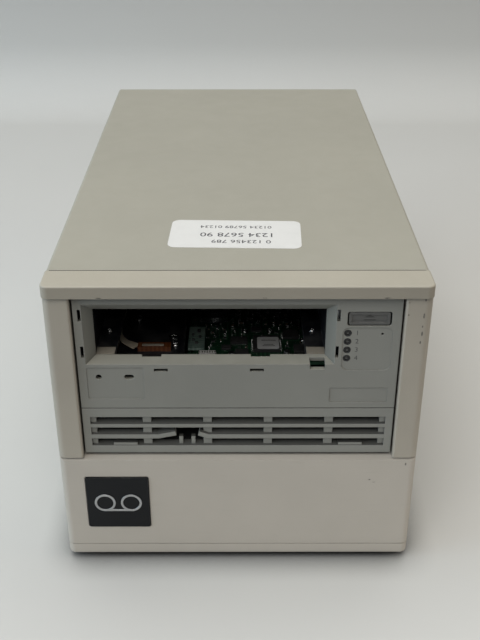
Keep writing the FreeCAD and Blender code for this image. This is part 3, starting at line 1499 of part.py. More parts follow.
# ---------------------------------------------------------------- build
def build():
    """All nodes by name."""
    right_pillar = pillar()
    fan_body, fan_wheel = enclosure_fan()
    small_body, small_wheel = drive_fan()
    plus_z, minus_z = key_places()
    nodes = {
        "top_cover": top_cover(),
        "front_cap": front_cap(),
        "right_pillar": right_pillar,
        "left_pillar": mirrored(right_pillar),
        "lower_front_panel": lower_front_panel(),
        "badge_plate": badge_plate(),
        "front_frame": front_frame(),
        "base_tray": base_tray(),
        "rubber_feet": rubber_feet(),
        "rear_panel": rear_panel(),
        "enclosure_screws": enclosure_screws(),
        "power_supply_case": power_supply_case(),
        "power_inlet": power_inlet(),
        "power_switch_frame": power_switch_frame(),
        "power_rocker": power_rocker(),
        "data_ports": data_ports(),
        "port_jackscrews": port_jackscrews(),
        "id_switch_body": id_switch_body(),
        "id_plus_button": id_key(plus_z),
        "id_minus_button": id_key(minus_z),
        "id_number_wheel": id_number_wheel(),
        "enclosure_fan_frame": fan_body,
        "enclosure_fan_rotor": fan_wheel,
        "drive_shelf": drive_shelf(),
        "side_brackets": side_brackets(),
        "power_lead": power_lead(),
        "data_ribbon": data_ribbon(),
        "drive_bezel": drive_bezel(),
        "drive_grille": drive_grille(),
        "eject_button": eject_button(),
        "led_light_pipes": led_light_pipes(),
        "front_panel_board": front_panel_board(),
        "drive_chassis": drive_chassis(),
        "drive_top_cover": drive_top_cover(),
        "drive_rear_connectors": drive_rear_connectors(),
        "drive_fan_frame": small_body,
        "drive_fan_rotor": small_wheel,
        "deck_posts": deck_posts(),
        "main_board": main_board(),
        "board_components": board_components(),
        "deck_plate": deck_plate(),
        "deck_pins": deck_pins(),
        "reel_motor": spindle_motor(hub_place, reel_motor_radius),
        "supply_hub": supply_hub(),
        "take_up_motor": spindle_motor(reel_place, take_up_motor_radius),
        "take_up_reel": take_up_reel(),
        "cartridge_carriage": cartridge_carriage(),
        "carriage_pads": carriage_pads(),
        "carriage_rails": carriage_rails(),
        "loader_gear": loader_gear(),
        "loader_motor": loader_motor(),
        "guide_roller_front": guide_roller(roller_y[0]),
        "guide_roller_rear": guide_roller(roller_y[1]),
        "head_block": head_block(),
        "head_leadscrew": head_leadscrew(),
        "threading_arm": threading_arm(),
        "flex_cable": flex_cable(),
        "film_connector": film_connector(),
    }
    return nodes


os.makedirs("parts", exist_ok=True)
for node, shape in build().items():
    shape.exportStep("parts/" + node + ".step")
    state = "valid" if shape.isValid() else "INVALID"
    print(node, len(shape.Solids), "solids", round(shape.Volume), "mm3", state)
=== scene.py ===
import functools
import logging
import math
import random
from dataclasses import dataclass
from enum import Enum
from typing import Optional, Sequence

import bmesh
import bpy
from mathutils import Matrix, Vector


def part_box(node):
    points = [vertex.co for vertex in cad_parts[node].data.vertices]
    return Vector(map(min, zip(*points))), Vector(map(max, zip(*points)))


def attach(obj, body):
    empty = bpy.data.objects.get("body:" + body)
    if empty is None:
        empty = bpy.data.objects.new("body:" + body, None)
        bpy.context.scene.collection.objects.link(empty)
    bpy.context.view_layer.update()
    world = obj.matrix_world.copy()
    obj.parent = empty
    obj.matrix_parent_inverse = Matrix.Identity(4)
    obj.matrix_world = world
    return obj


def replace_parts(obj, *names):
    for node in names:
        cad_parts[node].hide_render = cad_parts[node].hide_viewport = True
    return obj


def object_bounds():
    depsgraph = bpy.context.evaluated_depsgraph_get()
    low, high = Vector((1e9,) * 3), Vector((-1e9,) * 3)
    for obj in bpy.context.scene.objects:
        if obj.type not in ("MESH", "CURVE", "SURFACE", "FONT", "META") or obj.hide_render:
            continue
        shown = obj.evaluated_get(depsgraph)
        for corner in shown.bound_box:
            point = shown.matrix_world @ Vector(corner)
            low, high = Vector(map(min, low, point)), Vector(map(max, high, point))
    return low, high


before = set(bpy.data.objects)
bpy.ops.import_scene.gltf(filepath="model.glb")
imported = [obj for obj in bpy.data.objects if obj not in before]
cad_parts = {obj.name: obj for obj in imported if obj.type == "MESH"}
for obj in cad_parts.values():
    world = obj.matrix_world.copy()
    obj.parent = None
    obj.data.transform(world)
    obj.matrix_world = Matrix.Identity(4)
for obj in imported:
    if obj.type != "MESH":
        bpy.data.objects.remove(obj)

MM = 0.001
SEED = 7
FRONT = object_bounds()[0][1]
SHARP_ANGLE = 38
PRINT_DEPTH = 0.02 * MM
Colour = tuple[float, float, float]
Point = tuple[float, float]
Mesh = bmesh.types.BMesh
Vert = bmesh.types.BMVert
Socket = bpy.types.NodeSocket
DUST: Colour = (0.62, 0.6, 0.55)
SOOT: Colour = (0.045, 0.043, 0.04)
log = logging.getLogger("tape_drive")


class Body(Enum):
    """Moving bodies that pieces of this file ride on."""

    FIXED = "root"
    EJECT = "eject_button"
    ROCKER = "power_rocker"
    PLUS = "id_plus_button"
    MINUS = "id_minus_button"
    WHEEL = "id_number_wheel"
    CARRIAGE = "carriage"
    FAN = "enclosure_fan_rotor"


class Side(Enum):
    """Directions that a small part can face."""

    FRONT = Vector((0, -1, 0))
    REAR = Vector((0, 1, 0))
    UP = Vector((0, 0, 1))
    LEFT = Vector((-1, 0, 0))
    RIGHT = Vector((1, 0, 0))


class Ends(Enum):
    """What closes a skin of rings."""

    BOTH = "both ends filled"
    LAST = "last ring filled"
    JOINED = "last ring meets the first"


# ------------------------------------------------------------------ node graphs
class Graph:
    """Builds one material's node tree, a node at a time."""

    def __init__(self, name: str) -> None:
        """Start a tree that has a shader and an output.

        Args:
            name: The material's name.
        """
        self.material = bpy.data.materials.new(name)
        self.material.use_nodes = True
        self.tree = self.material.node_tree
        self.tree.nodes.clear()
        output = self.add("ShaderNodeOutputMaterial")
        self.shader = self.add("ShaderNodeBsdfPrincipled")
        self.tree.links.new(self.shader.outputs[0], output.inputs[0])
        self.place = self.add("ShaderNodeTexCoord").outputs["Object"]

    def add(self, kind: str, **settings: object) -> bpy.types.Node:
        """Add a node.

        Args:
            kind: The node's type name.
            settings: Values for the node's own properties.

        Returns:
            The new node.
        """
        node = self.tree.nodes.new(kind)
        for key, value in settings.items():
            setattr(node, key, value)
        return node

    def feed(self, target: Socket, value: object) -> None:
        """Link a socket to a target, or set the target's own value.

        Args:
            target: The input socket.
            value: A socket, a number or a colour.
        """
        if isinstance(value, bpy.types.NodeSocket):
            self.tree.links.new(value, target)
        elif isinstance(value, tuple) and len(value) == 3 and len(target.default_value) == 4:
            target.default_value = (*value, 1.0)
        else:
            target.default_value = value

    def fed(self, kind: str, *values: object, inputs: Optional[dict] = None,
            **settings: object) -> bpy.types.Node:
        """Add a node and feed its inputs.

        Args:
            kind: The node's type name.
            values: What goes into the first inputs, in order.
            inputs: What goes into other inputs, by name or number.
            settings: Values for the node's own properties.

        Returns:
            The new node.
        """
        node = self.add(kind, **settings)
        for key, value in (*enumerate(values), *(inputs or {}).items()):
            self.feed(node.inputs[key], value)
        return node

    def noise(self, size: float, detail: float, stretch: Colour = (1, 1, 1)) -> Socket:
        """Noise whose features have a size in metres, with octaves of detail, stretched by axis."""
        place = self.fed("ShaderNodeMapping", self.place, inputs={"Scale": stretch}).outputs[0]
        return self.fed("ShaderNodeTexNoise", place,
                        inputs={"Scale": 1.0 / size, "Detail": detail}).outputs["Fac"]

    def cells(self, size: float, metric: str = "EUCLIDEAN") -> bpy.types.Node:
        """Texture of cells that have a size in metres."""
        return self.fed("ShaderNodeTexVoronoi", self.place, inputs={"Scale": 1.0 / size},
                        distance=metric)

    def stripes(self, axis: str, pitch: float, profile: str) -> Socket:
        """Wave of stripes across an axis, at a pitch in metres."""
        return self.fed("ShaderNodeTexWave", self.place, inputs={"Scale": 0.5 / pitch / math.pi},
                        bands_direction=axis, wave_profile=profile).outputs["Fac"]

    def remap(self, value: Socket, low: float, high: float, out_low: float = 0.0,
              out_high: float = 1.0) -> Socket:
        """Value stretched from low and high to out_low and out_high, clamped."""
        return self.fed("ShaderNodeMapRange", value, low, high, out_low, out_high).outputs[0]

    def combine(self, operation: str, first: object, second: object) -> Socket:
        """Result of a math operation on two values."""
        return self.fed("ShaderNodeMath", first, second, operation=operation).outputs[0]

    def times(self, *values: object) -> Socket:
        """Product of two or more values."""
        return functools.reduce(functools.partial(self.combine, "MULTIPLY"), values)

    def vector(self, operation: str, first: object, second: object = (0, 0, 0)) -> bpy.types.Node:
        """Node of a vector operation on one or two vectors."""
        return self.fed("ShaderNodeVectorMath", first, second, operation=operation)

    def mix(self, share: object, first: object, second: object) -> Socket:
        """Two colours blended, with a share of the second."""
        return self.fed("ShaderNodeMix", share, inputs={6: first, 7: second},
                        data_type="RGBA").outputs[2]

    def edges(self, radius: float) -> tuple[Socket, Socket]:
        """Rounded normal and a mask of the edges.

        Args:
            radius: Rounding radius in metres.

        Returns:
            The rounded normal and the edge mask.
        """
        rounded = self.fed("ShaderNodeBevel", inputs={"Radius": radius}, samples=4).outputs[0]
        flat = self.add("ShaderNodeNewGeometry").outputs["Normal"]
        dot = self.vector("DOT_PRODUCT", rounded, flat)
        return rounded, self.remap(dot.outputs["Value"], 0.99, 0.86)

    def height(self, vector: Socket) -> Socket:
        """Upright part of a vector."""
        return self.fed("ShaderNodeSeparateXYZ", vector).outputs["Z"]

    def upward(self, low: float = 0.6, high: float = 0.95) -> Socket:
        """Mask of faces that look up, from the upward share low to the share high."""
        normal = self.add("ShaderNodeNewGeometry").outputs["Normal"]
        return self.remap(self.height(normal), low, high)

    def hollow(self, reach: float, low: float, high: float) -> Socket:
        """Ambient-occlusion mask of hollows for painted shade, full at the open share low, with
        surroundings up to reach metres.
        """
        node = self.fed("ShaderNodeAmbientOcclusion", inputs={"Distance": reach}, samples=6)
        return self.remap(node.outputs["AO"], low, high, 1.0, 0.0)

    def bump(self, height: Socket, depth: float, normal: Optional[Socket] = None) -> Socket:
        """Bump a normal by a height from 0 to 1 that stands for a depth in metres."""
        inputs = {"Distance": depth, "Height": height} | ({"Normal": normal} if normal else {})
        return self.fed("ShaderNodeBump", 1.0, inputs=inputs).outputs[0]

    def dress(self, **values: object) -> bpy.types.Material:
        """Feed the shader's inputs by name.

        Args:
            values: Input names, with underscores for spaces, and their values.

        Returns:
            The material.
        """
        for key, value in values.items():
            self.feed(self.shader.inputs[key.replace("_", " ")], value)
        return self.material


# ------------------------------------------------------------------ finishes
def scaled(colour: Colour, factor: float) -> Colour:
    """Colour made lighter or darker by a factor, at most 1."""
    return tuple(min(1.0, c * factor) for c in colour)


@dataclass(frozen=True)
class Moulding:
    """Moulded plastic or fine textured paint, with grain, mottling, edge wear and dust, and
    optional painted light and shade: a tint on faces that look up, and painted shade in hollows.
    """

    name: str
    colour: Colour
    roughness: float = 0.55
    roughness_spread: float = 0.06
    mottle: float = 0.05
    mottle_size: float = 0.035
    grain: float = 0.0007
    grain_depth: float = 0.000035
    edge_radius: float = 0.0005
    chip_size: float = 0.004
    wear: float = 0.25
    wear_colour: Colour = (0.62, 0.6, 0.52)
    dust: float = 0.08
    metallic: float = 0.0
    specular: float = 0.5
    scuffs: float = 0.0
    # film: share of painted top shading, which mixes faces that look up towards its colour: a
    # lighter colour paints light, a darker one paints shade.
    film: float = 0.0
    top_shading_colour: Colour = (0.62, 0.6, 0.5)
    # Painted shade: hollows, slots and faces under overhangs are darkened towards near black within
    # the given reach.
    recess_shade: float = 0.0
    recess_shade_reach: float = 0.005
    nicks: tuple[tuple[float, float, float, float], ...] = ()

    def material(self) -> bpy.types.Material:
        """Build the finish's material."""
        g = Graph(self.name)
        normal, edge = g.edges(self.edge_radius)
        cloud = g.remap(g.noise(self.mottle_size, 4.0), 0.35, 0.65)
        colour = g.mix(cloud, scaled(self.colour, 1 - self.mottle),
                       scaled(self.colour, 1 + self.mottle))
        chips = g.remap(g.noise(self.chip_size, 5.0), 0.45, 0.62)
        colour = g.mix(g.times(edge, chips, self.wear), colour, self.wear_colour)
        patches = g.remap(g.noise(0.009, 6.0), 0.4, 0.75, 0.0, self.dust)
        colour = g.mix(g.times(g.upward(), patches), colour, DUST)
        rough = g.remap(g.noise(0.02, 5.0), 0.3, 0.7, self.roughness - self.roughness_spread,
                        self.roughness + self.roughness_spread)
        # Painted top shading: faces that look up are mixed towards the top shading colour by the
        # share film.
        if self.film > 0:
            colour = g.mix(g.times(g.upward(0.3, 0.7), self.film), colour, self.top_shading_colour)
        # Painted shade in hollows and under overhangs, from ambient occlusion.
        if self.recess_shade > 0:
            depth = g.times(g.hollow(self.recess_shade_reach, 0.28, 0.5), self.recess_shade)
            colour = g.mix(depth, colour, scaled(self.colour, 0.06))
        for nick in self.nicks:
            colour = self.nicked(g, colour, nick)
        if self.scuffs > 0:
            streak = g.remap(g.noise(0.012, 6.0, (1.0, 1.0, 6.0)), 0.62, 0.74)
            colour = g.mix(g.times(streak, self.scuffs), colour, scaled(self.colour, 0.7))
        relief = g.bump(g.noise(self.grain, 2.0), self.grain_depth, normal)
        return g.dress(Base_Color=colour, Roughness=rough, Metallic=self.metallic,
                       Specular_IOR_Level=self.specular, Normal=relief)

    def nicked(self, g: Graph, colour: Socket, nick: tuple[float, float, float, float]) -> Socket:
        """Darken one worn spot.

        Args:
            g: The material's graph.
            colour: Colour so far.
            nick: Middle in x and z, then half width and half height, in millimetres.

        Returns:
            The colour with the spot.
        """
        x, z, wide, tall = nick
        shift = g.vector("SUBTRACT", g.place, (x * MM, 0.0, z * MM))
        grow = g.vector("MULTIPLY", shift.outputs[0], (1 / (wide * MM), 0.0, 1 / (tall * MM)))
        inside = g.remap(g.vector("LENGTH", grow.outputs[0]).outputs["Value"], 1.0, 0.55)
        rough = g.remap(g.noise(0.0016, 4.0), 0.4, 0.52, 0.35, 1.0)
        return g.mix(g.times(inside, rough, 0.8), colour, SOOT)


@dataclass(frozen=True)
class Print(Moulding):
    """Thin printed mark, neither worn nor dusty."""

    roughness: float = 0.6
    wear: float = 0.0
    dust: float = 0.0


@dataclass(frozen=True)
class SheetMetal:
    """Plated or brushed metal with a fine directional grain and a painted highlight along its
    edges.
    """

    name: str
    colour: Colour
    roughness: float = 0.32
    grain_stretch: Colour = (1.0, 14.0, 1.0)
    edge_radius: float = 0.0003

    def material(self) -> bpy.types.Material:
        """Build the finish's material."""
        g = Graph(self.name)
        normal, edge = g.edges(self.edge_radius)
        lines = g.noise(0.0012, 3.0, self.grain_stretch)
        cloud = g.remap(g.noise(0.018, 5.0), 0.3, 0.7)
        colour = g.mix(cloud, scaled(self.colour, 0.82), scaled(self.colour, 1.08))
        # Painted highlight: the edges are lightened to 1.5 times the colour.
        colour = g.mix(g.times(edge, 0.5), colour, scaled(self.colour, 1.5))
        rough = g.remap(lines, 0.3, 0.7, self.roughness - 0.08, self.roughness + 0.12)
        return g.dress(Base_Color=colour, Roughness=rough, Metallic=1.0,
                       Normal=g.bump(lines, 0.00001, normal))


@dataclass(frozen=True)
class CircuitBoard:
    """Green solder mask over copper traces, vias and a darker laminate."""

    name: str = "circuit_board"
    mask: Colour = (0.006, 0.034, 0.014)
    over_copper: Colour = (0.018, 0.08, 0.036)
    tin: Colour = (0.55, 0.55, 0.5)
    pitch: float = 0.0011
    block_size: float = 0.009
    via_spacing: float = 0.0026

    def material(self) -> bpy.types.Material:
        """Build the finish's material."""
        g = Graph(self.name)
        ways = [g.remap(g.stripes(axis, self.pitch, "TRI"), 0.52, 0.6) for axis in ("X", "Y")]
        block = g.cells(self.block_size, "MANHATTAN")
        choice = g.fed("ShaderNodeSeparateColor", block.outputs["Color"])
        along, present, pour = (g.combine("GREATER_THAN", choice.outputs[index], limit)
                                for index, limit in enumerate((0.5, 0.3, 0.82)))
        lines = g.fed("ShaderNodeMix", along, inputs={2: ways[0], 3: ways[1]}, data_type="FLOAT")
        copper = g.combine("MAXIMUM", g.times(lines.outputs[0], present), pour)
        colour = g.mix(copper, self.mask, self.over_copper)
        via = g.remap(g.cells(self.via_spacing).outputs["Distance"], 0.11, 0.09)
        colour = g.mix(via, colour, self.tin)
        tint = g.remap(g.noise(0.02, 4.0), 0.3, 0.7)
        colour = g.mix(g.times(tint, 0.25), colour, scaled(self.mask, 0.6))
        return g.dress(Base_Color=colour, Roughness=g.remap(tint, 0, 1, 0.28, 0.42),
                       Metallic=g.times(via, 0.8), Normal=g.bump(copper, 0.00003))


@dataclass(frozen=True)
class Paper:
    """Matt label paper with faint fibres and a little grime."""

    name: str = "label_paper"
    colour: Colour = (0.69, 0.695, 0.68)

    def material(self) -> bpy.types.Material:
        """Build the finish's material."""
        g = Graph(self.name)
        fibre = g.noise(0.0009, 6.0, (1.0, 3.0, 1.0))
        grime = g.remap(g.noise(0.008, 5.0), 0.45, 0.75, 0.0, 0.18)
        colour = g.mix(grime, self.colour, scaled(self.colour, 0.78))
        colour = g.mix(g.remap(fibre, 0.4, 0.6, 0.0, 0.06), colour, scaled(self.colour, 0.8))
        return g.dress(Base_Color=colour, Roughness=0.62, Normal=g.bump(fibre, 0.00002))


@dataclass(frozen=True)
class Film:
    """Amber or pale flexible film with fine conductors running along it."""

    name: str
    colour: Colour
    conductor: Colour
    pitch: float
    axis: str = "X"
    roughness: float = 0.3

    def material(self) -> bpy.types.Material:
        """Build the finish's material."""
        g = Graph(self.name)
        lines = g.remap(g.stripes(self.axis, self.pitch, "SIN"), 0.45, 0.6)
        cloud = g.remap(g.noise(0.006, 5.0), 0.3, 0.7, 0.0, 0.35)
        colour = g.mix(g.times(lines, 0.6), self.colour, self.conductor)
        colour = g.mix(cloud, colour, scaled(self.colour, 0.65))
        return g.dress(Base_Color=colour, Roughness=self.roughness, Coat_Weight=0.3,
                       Normal=g.bump(lines, 0.00002))


@dataclass(frozen=True)
class StageFloor:
    """Pale studio floor with a painted contact shadow round the object and painted shade that
    darkens it up the wall.
    """

    name: str = "stage_floor"
    colour: Colour = (0.58, 0.583, 0.565)
    wall_colour: Colour = (0.2, 0.2, 0.2)
    wall_shade: float = 0.5
    wall_start: float = 0.2
    contact_reach: float = 0.018

    def material(self) -> bpy.types.Material:
        """Build the finish's material."""
        g = Graph(self.name)
        cloud = g.remap(g.noise(0.4, 2.0), 0.3, 0.7)
        colour = g.mix(cloud, scaled(self.colour, 0.985), scaled(self.colour, 1.015))
        # Painted shade: the backdrop darkens towards the wall colour as it climbs.
        climb = g.remap(g.height(g.place), 0.0, self.wall_start, 0.0, self.wall_shade)
        colour = g.mix(climb, colour, self.wall_colour)
        # Painted contact shadow: ambient occlusion darkens the floor near the object.
        contact = g.hollow(self.contact_reach, 0.15, 0.95)
        colour = g.mix(contact, colour, scaled(self.colour, 0.05))
        return g.dress(Base_Color=colour, Roughness=0.8, Specular_IOR_Level=0.2)


class Shop:
    """All finishes, each made once and handed out by name."""

    cover = Moulding("cover_paint", (0.345, 0.335, 0.28), roughness=0.5, grain=0.0006,
                     grain_depth=0.00003, wear=0.15, mottle=0.018, mottle_size=0.06, dust=0.04)
    # Cap, pillars and lower panel are one beige plastic; their base colours step from darker at the
    # cap to lighter at the panel, which is partly painted shade, the front being darker towards its
    # top. The cap's film is a painted highlight that lightens its top.
    cap = Moulding("cap_moulding", (0.306, 0.28, 0.228), roughness=0.52, mottle=0.03, dust=0.05,
                   film=0.3, nicks=((-61.0, 152.4, 1.6, 0.35), (12.0, 152.5, 1.2, 0.3),
                                    (66.0, 152.4, 2.0, 0.4)))
    # Pillars: painted shade in hollows, darkest under the cap's overhang.
    pillar = Moulding("pillar_moulding", (0.349, 0.32, 0.267), roughness=0.52, mottle=0.03,
                      recess_shade=0.5, recess_shade_reach=0.012,
                      nicks=((83.0, 150.6, 0.5, 0.9), (82.9, 142.6, 0.55, 1.6),
                             (82.7, 137.1, 0.4, 0.7), (82.8, 133.4, 0.5, 1.5),
                             (82.4, 128.9, 0.45, 1.0), (75.9, 149.2, 0.55, 0.5),
                             (75.95, 143.0, 0.55, 0.5)))
    panel = Moulding("panel_moulding", (0.4233, 0.3918, 0.342), roughness=0.52, mottle=0.025,
                     scuffs=0.12,
                     nicks=((64.5, 51.0, 0.8, 0.5), (66.8, 49.4, 0.9, 0.4), (81.6, 60.4, 0.5, 1.1)))
    # Bezel: film lightens the faces that look up, such as the sill, as painted light; its hollows
    # and slots get painted shade.
    bezel = Moulding("bezel_moulding", (0.209, 0.21, 0.188), roughness=0.5, wear=0.35,
                     wear_colour=(0.36, 0.36, 0.33), mottle=0.04, dust=0.12, film=0.3, recess_shade=1.0)
    # Grille: film darkens the faces that look up inside the slots as painted shade; its slots and
    # hollows also get painted shade.
    grille = Moulding("grille_moulding", (0.212, 0.213, 0.191), roughness=0.5, wear=0.35,
                      wear_colour=(0.36, 0.36, 0.33), mottle=0.04, dust=0.05, film=0.75,
                      top_shading_colour=(0.02, 0.02, 0.02), recess_shade=1.0, recess_shade_reach=0.006)
    coating = Moulding("dark_coating", (0.016, 0.016, 0.018), roughness=0.6, wear=0.1,
                       wear_colour=(0.08, 0.08, 0.08), dust=0.04)
    key = Moulding("key_moulding", (0.085, 0.085, 0.08), roughness=0.45, mottle=0.05, wear=0.4,
                   wear_colour=(0.3, 0.3, 0.28))
    badge = Moulding("badge_face", (0.007, 0.0078, 0.009), roughness=0.5, specular=0.2, mottle=0.1,
                     grain=0.0004, grain_depth=0.00001, wear=0.3, wear_colour=(0.2, 0.2, 0.2),
                     dust=0.1)
    silver = SheetMetal("badge_silver", (0.45, 0.46, 0.47), roughness=0.35)
    zinc = SheetMetal("zinc_sheet", (0.5, 0.51, 0.52), roughness=0.36)
    steel = SheetMetal("turned_steel", (0.42, 0.43, 0.44), roughness=0.28)
    plated = SheetMetal("bright_plating", (0.5, 0.5, 0.49), roughness=0.18)
    nickel = SheetMetal("nickel_plating", (0.4, 0.4, 0.39), roughness=0.3)
    can = SheetMetal("aluminium_can", (0.3, 0.31, 0.32), 0.34, grain_stretch=(1.0, 1.0, 8.0))
    gold = SheetMetal("contact_gold", (0.75, 0.55, 0.22), roughness=0.25)
    rubber = Moulding("foot_rubber", (0.025, 0.025, 0.025), roughness=0.85, wear=0.1)
    black = Moulding("black_moulding", (0.022, 0.022, 0.024), roughness=0.45, mottle=0.12, wear=0.3,
                     wear_colour=(0.12, 0.12, 0.12), dust=0.12)
    deck = Moulding("black_casting", (0.011, 0.0115, 0.015), roughness=0.42, mottle=0.2,
                    grain=0.0009, grain_depth=0.00004, wear=0.6, wear_colour=(0.3, 0.3, 0.32),
                    dust=0.1, metallic=0.4)
    hub = Moulding("hub_moulding", (0.3, 0.3, 0.31), roughness=0.38, mottle=0.08)
    white = Moulding("white_moulding", (0.68, 0.67, 0.63), roughness=0.45, wear=0.2,
                     wear_colour=(0.4, 0.38, 0.33))
    pale = Moulding("pale_nylon", (0.26, 0.235, 0.19), roughness=0.5)
    ribbon = Film("ribbon_cable", (0.33, 0.33, 0.34), (0.2, 0.2, 0.21), 0.00127, roughness=0.5)
    flex = Film("pale_flex", (0.68, 0.6, 0.46), (0.55, 0.48, 0.36), 0.0014, "Z", 0.45)
    amber = Film("amber_film", (0.12, 0.032, 0.009), (0.2, 0.08, 0.03), 0.0011)
    board = CircuitBoard()
    light_board = CircuitBoard("light_circuit_board", (0.13, 0.19, 0.16), (0.2, 0.27, 0.23))
    chip = Moulding("chip_package", (0.02, 0.02, 0.021), roughness=0.5, mottle=0.15, grain=0.0003,
                    grain_depth=0.00001, wear=0.2, wear_colour=(0.1, 0.1, 0.1))
    ceramic = Moulding("ceramic_body", (0.15, 0.1, 0.06), roughness=0.4, grain=0.0003,
                       grain_depth=0.00001, wear=0.1)
    collar = Moulding("lamp_collar", (0.012, 0.012, 0.012), roughness=0.6, wear=0.2, dust=0.0,
                      wear_colour=(0.06, 0.06, 0.06))
    lens = Moulding("lamp_lens", (0.045, 0.046, 0.042), roughness=0.2, mottle=0.05, wear=0.0)
    key_print = Print("key_print", (0.045, 0.045, 0.042), roughness=0.55)
    print_grey = Print("printed_grey", (0.06, 0.06, 0.056))
    print_white = Print("printed_white", (0.5, 0.5, 0.48))
    ink = Print("dark_ink", (0.035, 0.035, 0.045))
    paper = Paper()
    made: dict[str, bpy.types.Material] = {}

    @classmethod
    def get(cls, finish: object) -> bpy.types.Material:
        """Material of a finish, made on first use.

        Args:
            finish: One of the finishes above.

        Returns:
            Its material.
        """
        if finish.name not in cls.made:
            cls.made[finish.name] = finish.material()
        return cls.made[finish.name]


# ------------------------------------------------------------------ mesh helpers
@dataclass(frozen=True)
class Extent:
    """Box between a lowest and a highest corner, in metres."""

    low: Vector
    high: Vector

    @property
    def middle(self) -> Vector:
        """Middle of the box."""
        return (self.low + self.high) / 2

    @property
    def width(self) -> float:
        """Size from left to right."""
        return self.high.x - self.low.x

    @property
    def depth(self) -> float:
        """Size from front to back."""
        return self.high.y - self.low.y

    @property
    def height(self) -> float:
        """Size from bottom to top."""
        return self.high.z - self.low.z


def span(node: str) -> Extent:
    """Box of a frame node."""
    low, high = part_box(node)
    return Extent(Vector(low), Vector(high))


def islands(node: str) -> list[Extent]:
    """Boxes of a frame node's separate solids.

    Args:
        node: The node's name.

    Returns:
        The box of each solid, from left to right.
    """
    mesh = bmesh.new()
    mesh.from_mesh(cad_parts[node].data)
    bmesh.ops.remove_doubles(mesh, verts=mesh.verts, dist=1e-6)
    left = set(mesh.verts)
    found = []
    while left:
        stack = [left.pop()]
        points = []
        while stack:
            vert = stack.pop()
            points.append(vert.co.copy())
            near = {edge.other_vert(vert) for edge in vert.link_edges} & left
            left -= near
            stack.extend(near)
        corners = (Vector([pick(p[i] for p in points) for i in range(3)]) for pick in (min, max))
        found.append(Extent(*corners))
    mesh.free()
    return sorted(found, key=lambda box: tuple(round(v, 5) for v in box.low))


def placed(name: str, data: bpy.types.ID) -> bpy.types.Object:
    """Put new data into the scene.

    Args:
        name: The object's name.
        data: Its mesh, lamp, camera or text.

    Returns:
        The new object.
    """
    obj = bpy.data.objects.new(name, data)
    bpy.context.scene.collection.objects.link(obj)
    return obj


def piece(name: str, mesh: Mesh, finish: object, body: Body = Body.FIXED,
          smooth: bool = True) -> bpy.types.Object:
    """Turn a mesh into a piece that rides on a body.

    Args:
        name: The piece's name.
        mesh: The mesh, which is freed.
        finish: Its finish.
        body: The body it rides on.
        smooth: Whether gentle edges are shaded smooth.

    Returns:
        The new object.
    """
    bmesh.ops.recalc_face_normals(mesh, faces=mesh.faces)
    data = bpy.data.meshes.new(name)
    mesh.to_mesh(data)
    mesh.free()
    obj = placed(name, data)
    data.materials.append(Shop.get(finish))
    if smooth:
        data.shade_smooth()
        data.set_sharp_from_angle(angle=math.radians(SHARP_ANGLE))
    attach(obj, body.value)
    log.info("built %s on %s", name, body.value)
    return obj


def ring_points(radius: float, count: int) -> list[Point]:
    """Points evenly round a circle."""
    return [(radius * math.cos(2 * math.pi * k / count), radius * math.sin(2 * math.pi * k / count))
            for k in range(count)]


def rounded_outline(width: float, height: float, radius: float, steps: int = 5) -> list[Point]:
    """Outline of a rectangle with rounded corners, centred on the origin.

    Args:
        width: Full width.
        height: Full height.
        radius: Corner radius.
        steps: Segments in each corner.

    Returns:
        The outline's points, anticlockwise.
    """
    points = []
    for corner, (sx, sy) in enumerate(((1, 1), (-1, 1), (-1, -1), (1, -1))):
        cx = sx * (width / 2 - radius)
        cy = sy * (height / 2 - radius)
        for step in range(steps + 1):
            angle = math.pi / 2 * (corner + step / steps)
            points.append((cx + radius * math.cos(angle), cy + radius * math.sin(angle)))
    return points


def loft(mesh: Mesh, rings: Sequence[Sequence[Sequence[float]]], place: Matrix,
         ends: Ends = Ends.BOTH) -> list[Vert]:
    """Skin a row of rings that have the same number of points.

    Args:
        mesh: Mesh to add to.
        rings: Points of each ring.
        place: Frame of the points.
        ends: What closes the skin.

    Returns:
        The first ring's vertices.
    """
    rows = [[mesh.verts.new(place @ Vector(point)) for point in ring] for ring in rings]
    follow = rows[1:] + (rows[:1] if ends is Ends.JOINED else [])
    for low, high in zip(rows, follow):
        for quad in zip(low, low[1:] + low[:1], high[1:] + high[:1], high):
            mesh.faces.new(quad)
    if ends is Ends.BOTH:
        mesh.faces.new(rows[0][::-1])
    if ends is not Ends.JOINED:
        mesh.faces.new(rows[-1])
    return rows[0]


def slab(mesh: Mesh, outline: Sequence[Point], thickness: float, place: Matrix,
         edge: float = 0.0) -> None:
    """Add a flat slab.

    Args:
        mesh: Mesh to add to.
        outline: Outline in the slab's own plane.
        thickness: Thickness along the slab's own Z.
        place: Where the slab goes.
        edge: Chamfer size of the upper edge.
    """
    reach = max(math.hypot(x, y) for x, y in outline)
    levels = [(0.0, 1.0), (thickness - edge, 1.0)]
    if edge > 0:
        levels.append((thickness, 1.0 - edge / reach))
    rings = [[(x * share, y * share, height) for x, y in outline] for height, share in levels]
    loft(mesh, rings, place)


def turned(mesh: Mesh, profile: Sequence[Point], place: Matrix, sides: int,
           ends: Ends = Ends.BOTH) -> list[Vert]:
    """Add a turned solid.

    Args:
        mesh: Mesh to add to.
        profile: Radius and height pairs.
        place: Where the axis foot goes.
        sides: Segments round the axis.
        ends: What closes the profile.

    Returns:
        The first ring's vertices.
    """
    rings = [[(x, y, height) for x, y in ring_points(radius, sides)] for radius, height in profile]
    return loft(mesh, rings, place, ends)


